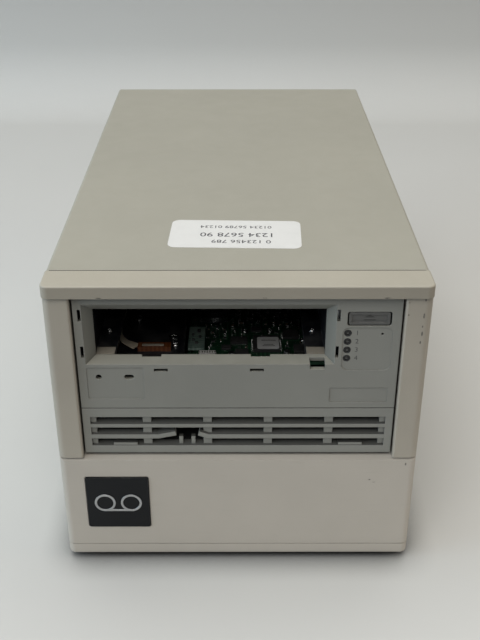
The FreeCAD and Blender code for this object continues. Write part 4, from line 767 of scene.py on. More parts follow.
def aimed(place: Vector, z: Vector) -> Matrix:
    """Frame whose Z looks along a vector and whose Y is upright where it can be.

    Args:
        place: Origin.
        z: Where Z looks, of length one.

    Returns:
        The frame as a matrix.
    """
    up = Vector((0, 1, 0)) if z.z > 0.99 else Vector((0, 0, 1))
    x = up.cross(z).normalized()
    matrix = Matrix((x, z.cross(x), z)).transposed().to_4x4()
    matrix.translation = place
    return matrix


def facing(place: Vector, side: Side) -> Matrix:
    """Frame at a place whose Z looks to a side."""
    return aimed(place, side.value)


def level(x: float, y: float, height: float) -> Matrix:
    """Frame on a level surface, x and y being millimetres from the middle and from the front."""
    return Matrix.Translation((x * MM, FRONT + y * MM, height))


def spin(degrees: float, axis: str) -> Matrix:
    """Turn about an axis."""
    return Matrix.Rotation(math.radians(degrees), 4, axis)


# ------------------------------------------------------------------ stage
@dataclass(frozen=True)
class Lamp:
    """One rectangular lamp of the studio."""

    name: str
    energy: float
    size: Point
    place: Colour
    aim: Colour
    tint: Colour = (1.0, 1.0, 1.0)

    def hang(self) -> None:
        """Hang the lamp where it belongs."""
        data = bpy.data.lights.new(self.name, "AREA")
        data.shape = "RECTANGLE"
        data.size, data.size_y = self.size
        data.energy = self.energy
        data.color = self.tint
        obj = placed(self.name, data)
        obj.location = self.place
        aim = Vector(self.aim) - Vector(self.place)
        obj.rotation_euler = aim.to_track_quat("-Z", "Y").to_euler()


@dataclass
class Studio:
    """Floor, backdrop, lights and camera."""

    floor_half: float = 3.0
    floor_front: float = 0.30
    wall_distance: float = 0.66
    wall_height: float = 2.5
    sweep: float = 0.08
    sweep_steps: int = 12
    camera_across: float = 0.0004
    camera_back: float = 0.5263
    camera_height: float = 0.3441
    camera_pitch: float = 28.916
    camera_yaw: float = 0.10
    lens: float = 53.16
    film_width: float = 36.0
    clip: Point = (0.01, 20.0)
    lamps: tuple[Lamp, ...] = (
        Lamp("overhead", 14.0, (1.6, 1.0), (-0.05, 0.24, 1.6), (0, 0.05, 0), (1.0, 0.985, 0.96)),
        Lamp("front_ceiling", 13.4, (1.2, 1.0), (-0.25, -1.05, 1.28), (0, -0.1, 0.1),
             (1.0, 0.98, 0.95)),
        Lamp("left_window", 10.4, (0.9, 0.6), (-1.3, -0.42, 0.4), (0, 0, 0.08), (0.7, 0.86, 1.0)),
        Lamp("right_warm", 3.2, (0.8, 0.6), (1.2, -0.2, 0.6), (0.1, -0.1, 0.0), (1.0, 0.86, 0.68)),
        Lamp("low_front", 0.04, (0.3, 0.06), (0.05, -0.31, 0.035), (0.0, -0.16, 0.045)))
    world_colour: tuple[float, float, float, float] = (0.95, 0.97, 1.0, 1.0)
    world_strength: float = 0.08

    def build(self) -> None:
        """Make the whole stage."""
        self.backdrop()
        for lamp in self.lamps:
            lamp.hang()
        self.world()
        self.camera()
        log.info("stage ready")

    def backdrop(self) -> None:
        """Make a floor that sweeps up into a wall."""
        mesh = bmesh.new()
        bend = self.wall_distance - self.sweep
        profile = [(-self.floor_front, 0.0), (bend, 0.0)]
        for step in range(1, self.sweep_steps + 1):
            angle = math.pi / 2 * step / self.sweep_steps
            profile.append((bend + self.sweep * math.sin(angle),
                            self.sweep - self.sweep * math.cos(angle)))
        profile.append((self.wall_distance, self.wall_height))
        left, right = ([mesh.verts.new((x, y, z)) for y, z in profile]
                       for x in (-self.floor_half, self.floor_half))
        for k in range(len(profile) - 1):
            mesh.faces.new((left[k], left[k + 1], right[k + 1], right[k]))
        data = bpy.data.meshes.new("stage_backdrop")
        mesh.to_mesh(data)
        mesh.free()
        data.shade_smooth()
        data.materials.append(StageFloor().material())
        placed("stage_backdrop", data)

    def world(self) -> None:
        """Set a plain pale world and the plain view of colours."""
        world = bpy.data.worlds.new("stage_world")
        world.use_nodes = True
        background = world.node_tree.nodes["Background"]
        background.inputs["Color"].default_value = self.world_colour
        background.inputs["Strength"].default_value = self.world_strength
        bpy.context.scene.world = world
        bpy.context.scene.view_settings.view_transform = "Standard"

    def camera(self) -> None:
        """Set the camera in front of and above the drive."""
        data = bpy.data.cameras.new("camera")
        data.lens = self.lens
        data.sensor_width = self.film_width
        data.clip_start, data.clip_end = self.clip
        obj = placed("camera", data)
        obj.location = (self.camera_across, -self.camera_back, self.camera_height)
        turns = (90 - self.camera_pitch, 0, -self.camera_yaw)
        obj.rotation_euler = tuple(math.radians(turn) for turn in turns)
        bpy.context.scene.camera = obj


# ------------------------------------------------------------------ the frame's own nodes
@dataclass
class FrameDresser:
    """Gives each carried-over frame node its finish."""

    def plan(self) -> dict[object, str]:
        """Node names by finish."""
        return {
            Shop.cover: "top_cover",
            Shop.cap: "front_cap",
            Shop.pillar: "left_pillar right_pillar",
            Shop.panel: "lower_front_panel",
            Shop.badge: "badge_plate",
            Shop.bezel: "drive_bezel",
            Shop.grille: "drive_grille",
            Shop.key: "eject_button",
            Shop.zinc: "front_frame base_tray rear_panel drive_shelf side_brackets "
                       "power_supply_case",
            Shop.coating: "drive_chassis drive_top_cover",
            Shop.rubber: "rubber_feet power_lead",
            Shop.plated: "port_jackscrews deck_pins deck_posts head_leadscrew enclosure_screws",
            Shop.black: "power_inlet power_switch_frame power_rocker id_switch_body take_up_reel "
                        "enclosure_fan_frame enclosure_fan_rotor drive_fan_frame drive_fan_rotor "
                        "drive_rear_connectors",
            Shop.white: "id_plus_button id_minus_button id_number_wheel",
            Shop.steel: "data_ports reel_motor take_up_motor loader_motor guide_roller_front "
                        "guide_roller_rear head_block threading_arm",
            Shop.ribbon: "data_ribbon",
            Shop.lens: "led_light_pipes",
            Shop.board: "front_panel_board main_board",
            Shop.chip: "board_components",
            Shop.deck: "deck_plate cartridge_carriage carriage_rails",
            Shop.hub: "supply_hub loader_gear",
            Shop.pale: "carriage_pads",
            Shop.flex: "flex_cable",
            Shop.amber: "film_connector",
        }

    def build(self) -> None:
        """Assign every finish."""
        for finish, names in self.plan().items():
            for name in names.split():
                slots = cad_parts[name].data.materials
                slots.clear()
                slots.append(Shop.get(finish))
                log.info("finished %s with %s", name, finish.name)


# ------------------------------------------------------------------ outside details
def sign(name: str, text: str, size: float, place: Matrix, finish: object,
         body: Body = Body.FIXED) -> None:
    """Make numerals or a sign as a thin piece.

    Args:
        name: The piece's name.
        text: What it shows.
        size: Letter height in metres.
        place: Its frame, with Z out of the surface.
        finish: Its finish.
        body: The body it rides on.
    """
    curve = bpy.data.curves.new(name + "_curve", "FONT")
    curve.body = text
    curve.size = size
    curve.align_x = curve.align_y = "CENTER"
    curve.extrude = PRINT_DEPTH
    curve.resolution_u = 3
    holder = placed(name + "_curve", curve)
    bpy.context.view_layer.update()
    graph = bpy.context.evaluated_depsgraph_get()
    data = bpy.data.meshes.new_from_object(holder.evaluated_get(graph))
    bpy.data.objects.remove(holder)
    mesh = bmesh.new()
    mesh.from_mesh(data)
    bmesh.ops.transform(mesh, matrix=place, verts=mesh.verts)
    piece(name, mesh, finish, body, smooth=False)


@dataclass
class TopLabel:
    """White paper label with rounded corners and rows of plain numbers on the cover."""

    width: float = 64.0 * MM
    depth: float = 33.0 * MM
    corner: float = 4.0 * MM
    thickness: float = 0.12 * MM
    lift: float = 0.02 * MM
    across: float = -1.1
    from_front: float = 57.6
    turn: float = -1.7
    rows: tuple[tuple[str, float, float, float], ...] = (
        ("0 123456 789", 5.2, 3.0, -9.0), ("1234 5678 90", 6.6, 1.0, -1.0),
        ("01234 56789 01234", 4.4, 0.0, 8.5))

    def build(self) -> None:
        """Make the label and its numbers."""
        height = span("top_cover").high.z + self.lift
        place = level(self.across, self.from_front, height) @ spin(self.turn, "Z")
        mesh = bmesh.new()
        slab(mesh, rounded_outline(self.width, self.depth, self.corner, 8), self.thickness, place)
        piece("top_label", mesh, Shop.paper)
        for row, (text, size, x, y) in enumerate(self.rows, start=1):
            at = place @ Matrix.Translation((x * MM, y * MM, self.thickness)) @ spin(180, "Z")
            sign("top_label_numbers_%d" % row, text, size * MM, at, Shop.ink)


@dataclass
class SeamShadowStrip:
    """Dark strip in the seam between the front mouldings and the wrapped cover, standing for the
    shadow in that gap: a painted shadow line.
    """

    below: float = 0.3 * MM
    width: float = 1.0 * MM
    corner: float = 1.8 * MM
    corner_steps: int = 6
    foot: float = 1.0 * MM
    play: float = 0.02 * MM
    lip: float = 0.25 * MM
    lip_corner: float = 0.2 * MM
    lip_thickness: float = 0.12 * MM
    lip_lift: float = 0.01 * MM

    def build(self) -> None:
        """Make the dark shadow strip up both sides and over the top, with its lip on the cover
        widening the painted shadow line.
        """
        cover = span("top_cover")
        start, end = span("front_cap").high.y, cover.low.y
        crown = bmesh.new()
        outline = rounded_outline(2 * (cover.high.x - self.corner), end - start + self.lip,
                                  self.lip_corner, 3)
        middle = Matrix.Translation((0, (start + end + self.lip) / 2, cover.high.z + self.lip_lift))
        slab(crown, outline, self.lip_thickness, middle)
        piece("seam_shadow_lip", crown, Shop.collar)
        half, top = cover.high.x - self.below, cover.high.z - self.below
        foot = cover.low.z + self.foot
        outer = self.arch(half, top, self.corner)
        inner = self.arch(half - self.width, top - self.width, self.corner - self.width * 0.5)
        outline = [(-half, foot), *outer, (half, foot), (half - self.width, foot), *reversed(inner),
                   (self.width - half, foot)]
        mesh = bmesh.new()
        place = Matrix.Translation((0, end - self.play, 0)) @ spin(90, "X")
        slab(mesh, outline, end - start - 2 * self.play, place)
        piece("seam_shadow_strip", mesh, Shop.collar)

    def arch(self, half: float, top: float, radius: float) -> list[Point]:
        """Two rounded upper corners, left to right.

        Args:
            half: Half width.
            top: Height of the top.
            radius: Corner radius.

        Returns:
            The points.
        """
        turns = [math.pi / 2 * step / self.corner_steps for step in range(self.corner_steps + 1)]
        return [(side * (half - radius + radius * math.cos(turn)),
                 top - radius + radius * math.sin(turn))
                for side, row in ((-1, turns), (1, turns[::-1])) for turn in row]


@dataclass
class BadgeEmblem:
    """Raised silver picture of two tape reels on the bare badge."""

    reel_radius: float = 5.2 * MM
    reel_spacing: float = 13.0 * MM
    line: float = 1.1 * MM
    relief: float = 0.25 * MM
    sunk: float = 0.2
    tape_share: float = 0.85

    def build(self) -> None:
        """Make both reels and the tape between them."""
        badge = span("badge_plate")
        foot = Vector((badge.middle.x, badge.low.y - self.relief * self.sunk, badge.middle.z))
        place = facing(foot, Side.FRONT)
        mesh = bmesh.new()
        inner = self.reel_radius - self.line
        hoop = ((self.reel_radius, 0), (self.reel_radius, self.relief), (inner, self.relief),
                (inner, 0))
        for side in (-1, 1):
            at = place @ Matrix.Translation((side * self.reel_spacing / 2, 0, 0))
            turned(mesh, hoop, at, 40, Ends.JOINED)
        tape = place @ Matrix.Translation((0, -self.reel_radius + self.line / 2, 0))
        slab(mesh, rounded_outline(self.reel_spacing, self.line, self.line * 0.1, 2),
             self.relief * self.tape_share, tape)
        piece("badge_emblem", mesh, Shop.silver)


# ------------------------------------------------------------------ small hardware
def holed_face(mesh: Mesh, outer: Sequence[Vert], inner: Sequence[Vert]) -> None:
    """Fill the flat ring between an outer and an inner loop.

    Args:
        mesh: Mesh that owns the loops.
        outer: Outer loop.
        inner: Inner loop.
    """
    edges = [mesh.edges.get(pair) or mesh.edges.new(pair)
             for loop in (outer, inner) for pair in zip(loop, loop[1:] + loop[:1])]
    bmesh.ops.triangle_fill(mesh, use_beauty=True, edges=edges)


@dataclass
class ScrewHead:
    """Pan head with a cross recess; its profile and cross are shares of radius and height."""

    radius: float
    height: float
    recess: float = 0.9 * MM
    sides: int = 28
    profile: tuple[Point, ...] = ((0.76, 1.0), (0.93, 0.75), (1.0, 0.45), (1.0, 0.0))
    arm: float = 0.58
    half_slot: float = 0.15
    draft: float = 0.8

    def add(self, mesh: Mesh, place: Matrix) -> None:
        """Add one head.

        Args:
            mesh: Mesh to add to.
            place: The head's foot, with Z out of the surface.
        """
        profile = [(self.radius * wide, self.height * up) for wide, up in self.profile]
        rim = turned(mesh, profile, place, self.sides, Ends.LAST)
        arm, half = self.radius * self.arm, self.radius * self.half_slot
        cross = [(arm, -half), (arm, half), (half, half), (half, arm), (-half, arm), (-half, half),
                 (-arm, half), (-arm, -half), (-half, -half), (-half, -arm), (half, -arm),
                 (half, -half)]
        levels = ((1.0, self.height), (self.draft, self.height - self.recess))
        walls = [[(x * share, y * share, z) for x, y in cross] for share, z in levels]
        holed_face(mesh, rim, loft(mesh, walls, place, Ends.LAST))


@dataclass
class ScrewRow:
    """Bright screws of one kind that stand on a level surface."""

    name: str
    head: ScrewHead
    places: tuple[Point, ...]
    body: Body = Body.FIXED

    def build(self, height: float) -> None:
        """Make the screws on a surface at a height in metres."""
        mesh = bmesh.new()
        for x, y in self.places:
            self.head.add(mesh, level(x, y, height))
        piece(self.name, mesh, Shop.plated, self.body)


@dataclass
class Fasteners:
    """Cross-recess heads over the plain heads of the enclosure's and deck's screws."""

    skin: float = 0.06 * MM
    rear_height: float = 1.6 * MM
    rear_length: float = 6.0 * MM
    side_height: float = 0.8 * MM
    side_reach: float = 5.0 * MM
    side_play: float = 0.01 * MM
    side_recess: float = 0.55 * MM
    radius: float = 2.7 * MM
    deck_radius: float = 2.4 * MM
    deck_height: float = 1.4 * MM
    deck_recess: float = 0.7 * MM
    deck_foot: float = 1.2 * MM
    deck_length: float = 4.0 * MM

    def build(self) -> None:
        """Cap every screw head with its recess."""
        self.enclosure()
        self.deck()

    def enclosure(self) -> None:
        """Heads of the cover, fan, inlet and bracket screws."""
        mesh = bmesh.new()
        wall = span("drive_chassis").high.x
        radius = self.radius + self.skin
        rear = ScrewHead(radius, self.rear_height + self.skin)
        flank = ScrewHead(radius, self.side_height - self.side_play, self.side_recess)
        for screw in islands("enclosure_screws"):
            middle = screw.middle
            if screw.depth > self.rear_length:
                foot = Vector((middle.x, screw.high.y - self.rear_height, middle.z))
                rear.add(mesh, facing(foot, Side.REAR))
            elif abs(middle.x) > wall + self.side_reach:
                if middle.x > 0:
                    side, x = Side.RIGHT, screw.high.x - self.side_height
                else:
                    side, x = Side.LEFT, screw.low.x + self.side_height
                flank.add(mesh, facing(Vector((x, middle.y, middle.z)), side))
        piece("enclosure_screw_heads", mesh, Shop.nickel)

    def deck(self) -> None:
        """Heads of the screws that hold the deck and the board."""
        mesh = bmesh.new()
        head = ScrewHead(self.deck_radius + self.skin, self.deck_height + self.skin,
                         self.deck_recess)
        for pin in islands("deck_pins"):
            if pin.height < self.deck_length:
                foot = Vector((pin.middle.x, pin.middle.y, pin.low.z + self.deck_foot))
                head.add(mesh, facing(foot, Side.UP))
        piece("deck_screw_heads", mesh, Shop.plated)


@dataclass
class LampRow:
    """Dark collars, domed lenses and plain numerals of the four lamps."""

    face_depth: float = 0.35 * MM
    collar: float = 1.75 * MM
    bore: float = 0.95 * MM
    sunk: float = -0.3 * MM
    relief: float = 0.12 * MM
    text_height: float = 3.4 * MM
    text_gap: float = 4.3 * MM
    lens: tuple[Point, ...] = ((0.95, -0.4), (0.92, -0.25), (0.7, -0.1), (0.35, -0.03))

    def build(self) -> None:
        """Make the collars, lenses and numerals."""
        collars, lenses = bmesh.new(), bmesh.new()
        face = span("drive_bezel").low.y + self.face_depth
        dome = [(radius * MM, height * MM) for radius, height in self.lens]
        ring = ((self.bore, self.sunk), (self.collar * 0.74, self.sunk), (self.collar * 0.74, 0.0),
                (self.collar, 0.0), (self.collar * 0.97, self.relief),
                (self.bore * 1.1, self.relief))
        for number, lamp in enumerate(reversed(islands("led_light_pipes")), start=1):
            x, z = lamp.middle.x, lamp.middle.z
            place = facing(Vector((x, face, z)), Side.FRONT)
            turned(collars, ring, place, 32, Ends.JOINED)
            turned(lenses, dome, place, 20)
            at = facing(Vector((x + self.text_gap, face, z)), Side.FRONT)
            sign("lamp_numeral_%d" % number, str(number), self.text_height, at, Shop.print_grey)
        piece("lamp_collars", collars, Shop.collar)
        piece("lamp_lenses", lenses, Shop.lens)


@dataclass
class EjectMark:
    """Faint triangle over a bar on the eject key."""

    width: float = 5.4 * MM
    height: float = 1.5 * MM
    foot: float = 0.1 * MM
    bar: float = 0.5 * MM
    bar_drop: float = 1.15 * MM
    relief: float = 0.03 * MM
    dish: float = 0.6 * MM
    rise: float = 0.2 * MM

    def build(self) -> None:
        """Make the mark on the key's dished face."""
        key = span("eject_button")
        foot = Vector((key.middle.x, key.low.y + self.dish, key.middle.z + self.rise))
        place = facing(foot, Side.FRONT)
        mesh = bmesh.new()
        half = self.width / 2
        slab(mesh, [(half, self.foot), (0.0, self.height), (-half, self.foot)], self.relief, place)
        under = place @ Matrix.Translation((0, -self.bar_drop, 0))
        slab(mesh, rounded_outline(self.width, self.bar, self.bar * 0.1, 2), self.relief, under)
        piece("eject_mark", mesh, Shop.key_print, Body.EJECT, smooth=False)


# ------------------------------------------------------------------ inside details
def block(mesh: Mesh, low: Vector, high: Vector) -> None:
    """Add a small block with softened upper edges.

    Args:
        mesh: Mesh to add to.
        low: Lowest corner.
        high: Highest corner.
    """
    size = high - low
    edge = min(size) * 0.12
    place = Matrix.Translation(((low.x + high.x) / 2, (low.y + high.y) / 2, low.z))
    slab(mesh, rounded_outline(size.x, size.y, edge, 1), size.z, place, edge)


@dataclass
class BoardDetail:
    """Chip leads, small parts, connector pins and labels of the main board."""

    chip_height: float = 2.5 * MM
    can_width: float = 4.0 * MM
    lead_pitch: float = 1.27 * MM
    lead_width: float = 0.45 * MM
    lead_reach: float = 1.0 * MM
    lead_tuck: float = 0.1 * MM
    lead_thickness: float = 0.3 * MM
    lead_margin: float = 1.2 * MM
    part_count: int = 190
    part_lengths: tuple[float, ...] = (1.6, 2.0, 3.2)
    part_zone: Point = (1.5, 60.0)
    part_margin: float = 4.0 * MM
    part_height_share: float = 0.3
    core_share: float = 0.22
    end_share: float = 0.39
    end_rise: float = 1.03
    standing_width: float = 20.0 * MM
    part_gap: float = 0.5 * MM
    clearance: float = 1.7 * MM
    tries: int = 6000
    can_skin: float = 0.05 * MM
    can_foot: Point = (0.4 * MM, 0.5 * MM)
    can_edge: float = 0.2 * MM
    connector_skin: float = 0.06 * MM
    pins: int = 7
    pin_half: float = 0.25 * MM
    pin_reach: float = 0.7 * MM
    pin_rise: float = 0.12 * MM
    tail_reach: float = 1.0 * MM
    tail_rise: float = 0.35 * MM
    label: Point = (11.4 * MM, 12.2 * MM)
    label_corner: float = 1.4 * MM
    label_thickness: float = 0.1 * MM
    line_width: float = 0.5 * MM
    line_corner: float = 0.1 * MM
    line_relief: float = 0.01 * MM
    line_shift: float = 0.3 * MM
    label_shift: Point = (0.8 * MM, -0.7 * MM)
    label_lines: tuple[Point, ...] = ((6.5, -3.0), (5.0, -1.7), (7.5, 2.6))
    strip_skin: float = 0.25 * MM
    strip_rise: float = 0.1 * MM
    strip_thickness: float = 1.2 * MM
    strip_part_height: float = 0.8 * MM
    strip_level: float = 1.0 * MM
    strip_parts: tuple[tuple[float, float, float, float], ...] = (
        (0.62, 0.78, 1.8, 2.6), (0.7, 0.5, 1.6, 2.0), (0.5, 0.22, 1.8, 1.6), (0.25, 0.6, 1.2, 1.2),
        (0.3, 0.35, 1.2, 1.0))

    def __post_init__(self) -> None:
        """Find the board's parts."""
        self.parts: list[Extent] = islands("board_components")
        self.top: float = min(part.low.z for part in self.parts)
        self.chips: list[Extent] = [part for part in self.parts if part.height < self.chip_height]

    def build(self) -> None:
        """Dress the board's parts."""
        self.leads()
        self.passives()
        self.cans()
        self.white_connector()
        self.chip_label()
        self.strip_board()
        ScrewRow("board_screws", ScrewHead(1.8 * MM, 1.3 * MM, 0.7 * MM),
                 ((3.8, 74.1), (17.2, 74.1), (34.4, 64.8), (67.5, 49.0))).build(self.top)

    def leads(self) -> None:
        """Gull-wing leads along both long sides of each chip."""
        mesh = bmesh.new()
        half = self.lead_width / 2
        for chip in self.chips:
            low, high = chip.low, chip.high
            along, over = (0, 1) if chip.width > chip.depth else (1, 0)
            count = int((high[along] - low[along] - self.lead_margin) / self.lead_pitch)
            first = (low[along] + high[along]) / 2 - (count - 1) * self.lead_pitch / 2
            for k in range(count):
                at = first + k * self.lead_pitch
                for way, edge in ((-1, low[over]), (1, high[over])):
                    ends = sorted((edge - way * self.lead_tuck, edge + way * self.lead_reach))
                    corners = [Vector((0, 0, low.z)), Vector((0, 0, low.z + self.lead_thickness))]
                    for corner, end, side in zip(corners, ends, (-half, half)):
                        corner[along], corner[over] = at + side, end
                    block(mesh, *corners)
        piece("chip_leads", mesh, Shop.plated)

    def small_part(self, bodies: Mesh, ends: Mesh, foot: Vector, length: float,
                   along_x: bool) -> None:
        """Add one part with two tinned ends.

        Args:
            bodies: Mesh of the bodies.
            ends: Mesh of the ends.
            foot: Middle of the part's underside.
            length: Its length.
            along_x: Whether it lies along X.
        """
        axis, over = Vector((1, 0, 0)), Vector((0, 1, 0))
        if not along_x:
            axis, over = over, axis
        half = axis * (length / 2) + over * (length / 4)
        height = Vector((0, 0, length * self.part_height_share))
        core = half - axis * length * self.core_share
        block(bodies, foot - core, foot + core + height)
        reach = half - axis * length * self.end_share
        for way in (-1, 1):
            middle = foot + axis * way * length * self.end_share
            block(ends, middle - reach, middle + reach + height * self.end_rise)

    def passives(self) -> None:
        """Scatter small resistors and capacitors between the chips."""
        rng = random.Random(SEED)
        resistors, capacitors, ends = bmesh.new(), bmesh.new(), bmesh.new()
        board = span("main_board")
        room = Vector((self.clearance, self.clearance, 0))
        taken = [(part.low - room, part.high + room) for part in self.parts]
        taken += [(part.low, part.high) for part in islands("main_board")
                  if part.width < self.standing_width]
        left = min(part.low.x for part in self.parts) - self.part_margin
        made = 0
        for _ in range(self.tries):
            length = rng.choice(self.part_lengths) * MM
            along_x = rng.random() < 0.5
            foot = Vector((rng.uniform(left, board.high.x - self.part_margin),
                           board.low.y + rng.uniform(*self.part_zone) * MM, self.top))
            reach = length / 2 + self.part_gap
            if any(foot.x - reach < high.x and foot.x + reach > low.x and foot.y - reach < high.y
                   and foot.y + reach > low.y for low, high in taken):
                continue
            taken.append((foot - Vector((reach, reach, 0)), foot + Vector((reach, reach, 0))))
            self.small_part(resistors if made % 3 else capacitors, ends, foot, length, along_x)
            made += 1
            if made >= self.part_count:
                break
        piece("resistors", resistors, Shop.chip)
        piece("ceramic_capacitors", capacitors, Shop.ceramic)
        piece("part_ends", ends, Shop.plated)

    def cans(self) -> None:
        """Aluminium cans with a grooved foot over the tall round capacitors."""
        mesh = bmesh.new()
        foot_top, groove = self.can_foot
        for part in self.parts:
            if part.height > self.chip_height and part.width < self.can_width:
                radius, height = part.width / 2 + self.can_skin, part.height + self.can_skin
                profile = [(radius * 1.12, 0.0), (radius * 1.12, foot_top), (radius, groove),
                           (radius, height * 0.24), (radius * 0.97, height * 0.28),
                           (radius, height * 0.32), (radius, height - self.can_edge),
                           (radius * 0.88, height)]
                foot = Vector((part.middle.x, part.middle.y, part.low.z))
                turned(mesh, profile, Matrix.Translation(foot), 28)
        piece("capacitor_cans", mesh, Shop.can)

    def white_connector(self) -> None:
        """White housing with a row of pins over the tall block near the board's front."""
        part = next(part for part in self.parts
                    if part.height > self.chip_height and part.width > self.can_width)
        low, high = part.low, part.high
        skin = self.connector_skin
        housing, pins = bmesh.new(), bmesh.new()
        block(housing, low - Vector((skin, skin, 0)), high + Vector((skin, skin, skin)))
        y = part.middle.y
        for k in range(self.pins):
            x = low.x + part.width * (k + 0.5) / self.pins
            left, right = x - self.pin_half, x + self.pin_half
            for foot, near, far, rise in (
                    (high.z, y - self.pin_reach, y + self.pin_reach, self.pin_rise),
                    (low.z, low.y - self.tail_reach, low.y, self.tail_rise)):
                block(pins, Vector((left, near, foot)), Vector((right, far, foot + rise)))
        piece("board_connector_housing", housing, Shop.white)
        piece("board_connector_pins", pins, Shop.key_print)

    def chip_label(self) -> None:
        """White label with plain grey lines on the largest chip."""
        chip = max(self.chips, key=lambda part: part.width * part.depth)
        x, y = self.label_shift
        place = Matrix.Translation((chip.middle.x + x, chip.middle.y + y, chip.high.z))
        paper, lines = bmesh.new(), bmesh.new()
        slab(paper, rounded_outline(*self.label, self.label_corner), self.label_thickness, place)
        for width, y in self.label_lines:
            at = place @ Matrix.Translation((self.line_shift, y * MM, self.label_thickness))
            outline = rounded_outline(width * MM, self.line_width, self.line_corner, 2)
            slab(lines, outline, self.line_relief, at)
        piece("chip_label", paper, Shop.paper)
        piece("chip_label_lines", lines, Shop.ink)

    def strip_board(self) -> None:
        """Pale green top with dark parts on the small board that stands on the main board."""
        board = next(part for part in islands("main_board")
                     if part.low.z > self.top - self.strip_level)
        low, top = board.low, board.high.z + self.strip_rise
        sheet, parts = bmesh.new(), bmesh.new()
        skin = Vector((self.strip_skin, self.strip_skin, 0))
        block(sheet, Vector((low.x, low.y, board.high.z - self.strip_thickness)) - skin,
              Vector((board.high.x, board.high.y, top)) + skin)
        for x, y, width, depth in self.strip_parts:
            at = Vector((low.x + board.width * x, low.y + board.depth * y, top))
            reach = Vector((width, depth, 0)) * MM / 2
            block(parts, at - reach, at + reach + Vector((0, 0, self.strip_part_height)))
        piece("strip_board_top", sheet, Shop.light_board)
        piece("strip_board_parts", parts, Shop.chip)


@dataclass
class DeckDetail:
    """Bright screws on the deck and the loading carriage, and the connector's clamp."""

    clamp: tuple[float, float, float] = (11.0 * MM, 1.5 * MM, 0.5 * MM)
    clamp_corner: float = 0.3 * MM
    clamp_edge: float = 0.1 * MM
    clamp_shift: Point = (-0.6 * MM, -0.5 * MM)

    def build(self) -> None:
        """Make the deck's and the carriage's small parts."""
        ScrewRow("deck_bright_screws", ScrewHead(1.9 * MM, 1.3 * MM, 0.7 * MM),
                 ((-31.3, 44.8), (-69.0, 62.0))).build(span("deck_plate").high.z)
        ScrewRow("carriage_screws", ScrewHead(1.6 * MM, 1.0 * MM, 0.5 * MM),
                 ((-62.8, 36.2), (36.4, 36.2)), Body.CARRIAGE).build(span("carriage_pads").low.z)
        base = span("film_connector")
        x, y = self.clamp_shift
        middle = Vector((base.middle.x + x, base.middle.y + y, base.high.z))
        width, depth, height = self.clamp
        mesh = bmesh.new()
        slab(mesh, rounded_outline(width, depth, self.clamp_corner, 2), height,
             Matrix.Translation(middle), self.clamp_edge)
        piece("film_clamp", mesh, Shop.pale)


@dataclass
class FlexRibbon:
    """Pale flexible cable that stands on edge round the hub and lies down at its connector.

    A station holds x, distance from the front, height over the deck, lean in degrees and width.
    """

    thickness: float = 0.35 * MM
    steps: int = 8
    stations: tuple[tuple[float, float, float, float, float], ...] = (
        (-59.8, 79.5, 2.7, 90, 4.8), (-60.5, 68.0, 2.7, 88, 4.8), (-60.6, 58.5, 2.7, 74, 5.0),
        (-59.6, 51.6, 2.7, 50, 5.8), (-56.4, 45.2, 2.4, 22, 6.8), (-50.4, 41.4, 1.6, 6, 7.2))

    def path(self) -> list[tuple[Vector, float, float]]:
        """Spots along the ribbon's middle.

        Returns:
            Place, lean in radians and width of each spot.
        """
        deck = span("deck_plate").high.z
        points = [level(x, y, deck + z * MM).translation for x, y, z, _, _ in self.stations]
        spots = []
        last = len(points) - 1
        for k in range(last):
            before, after = points[max(k - 1, 0)], points[min(k + 2, last)]
            for step in range(self.steps if k < last - 1 else self.steps + 1):
                t = step / self.steps
                spot = self.curve(before, points[k], points[k + 1], after, t)
                lean, width = (start * (1 - t) + end * t for start, end
                               in zip(self.stations[k][3:], self.stations[k + 1][3:]))
                spots.append((spot, math.radians(lean), width * MM))
        return spots

    def build(self) -> None:
        """Sweep the ribbon through its stations."""
        up = Vector((0, 0, 1))
        path = self.path()
        rings = []
        for index, (spot, lean, width) in enumerate(path):
            ahead = path[min(index + 1, len(path) - 1)][0] - path[max(index - 1, 0)][0]
            ahead.z = 0
            side = ahead.normalized().cross(up)
            across = (side * math.cos(lean) + up * math.sin(lean)) * width / 2
            normal = across.cross(ahead).normalized() * self.thickness / 2
            rings.append([spot + across + normal, spot - across + normal, spot - across - normal,
                          spot + across - normal])
        mesh = bmesh.new()
        loft(mesh, rings, Matrix.Identity(4))
        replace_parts(piece("flex_ribbon", mesh, Shop.flex), "flex_cable")

    def curve(self, a: Vector, b: Vector, c: Vector, d: Vector, t: float) -> Vector:
        """Point at a share t of the smooth way from b to c, with a before and d after them."""
        return 0.5 * (2 * b + (c - a) * t + (2 * a - 5 * b + 4 * c - d) * t * t
                      + (3 * b - a - 3 * c + d) * t * t * t)


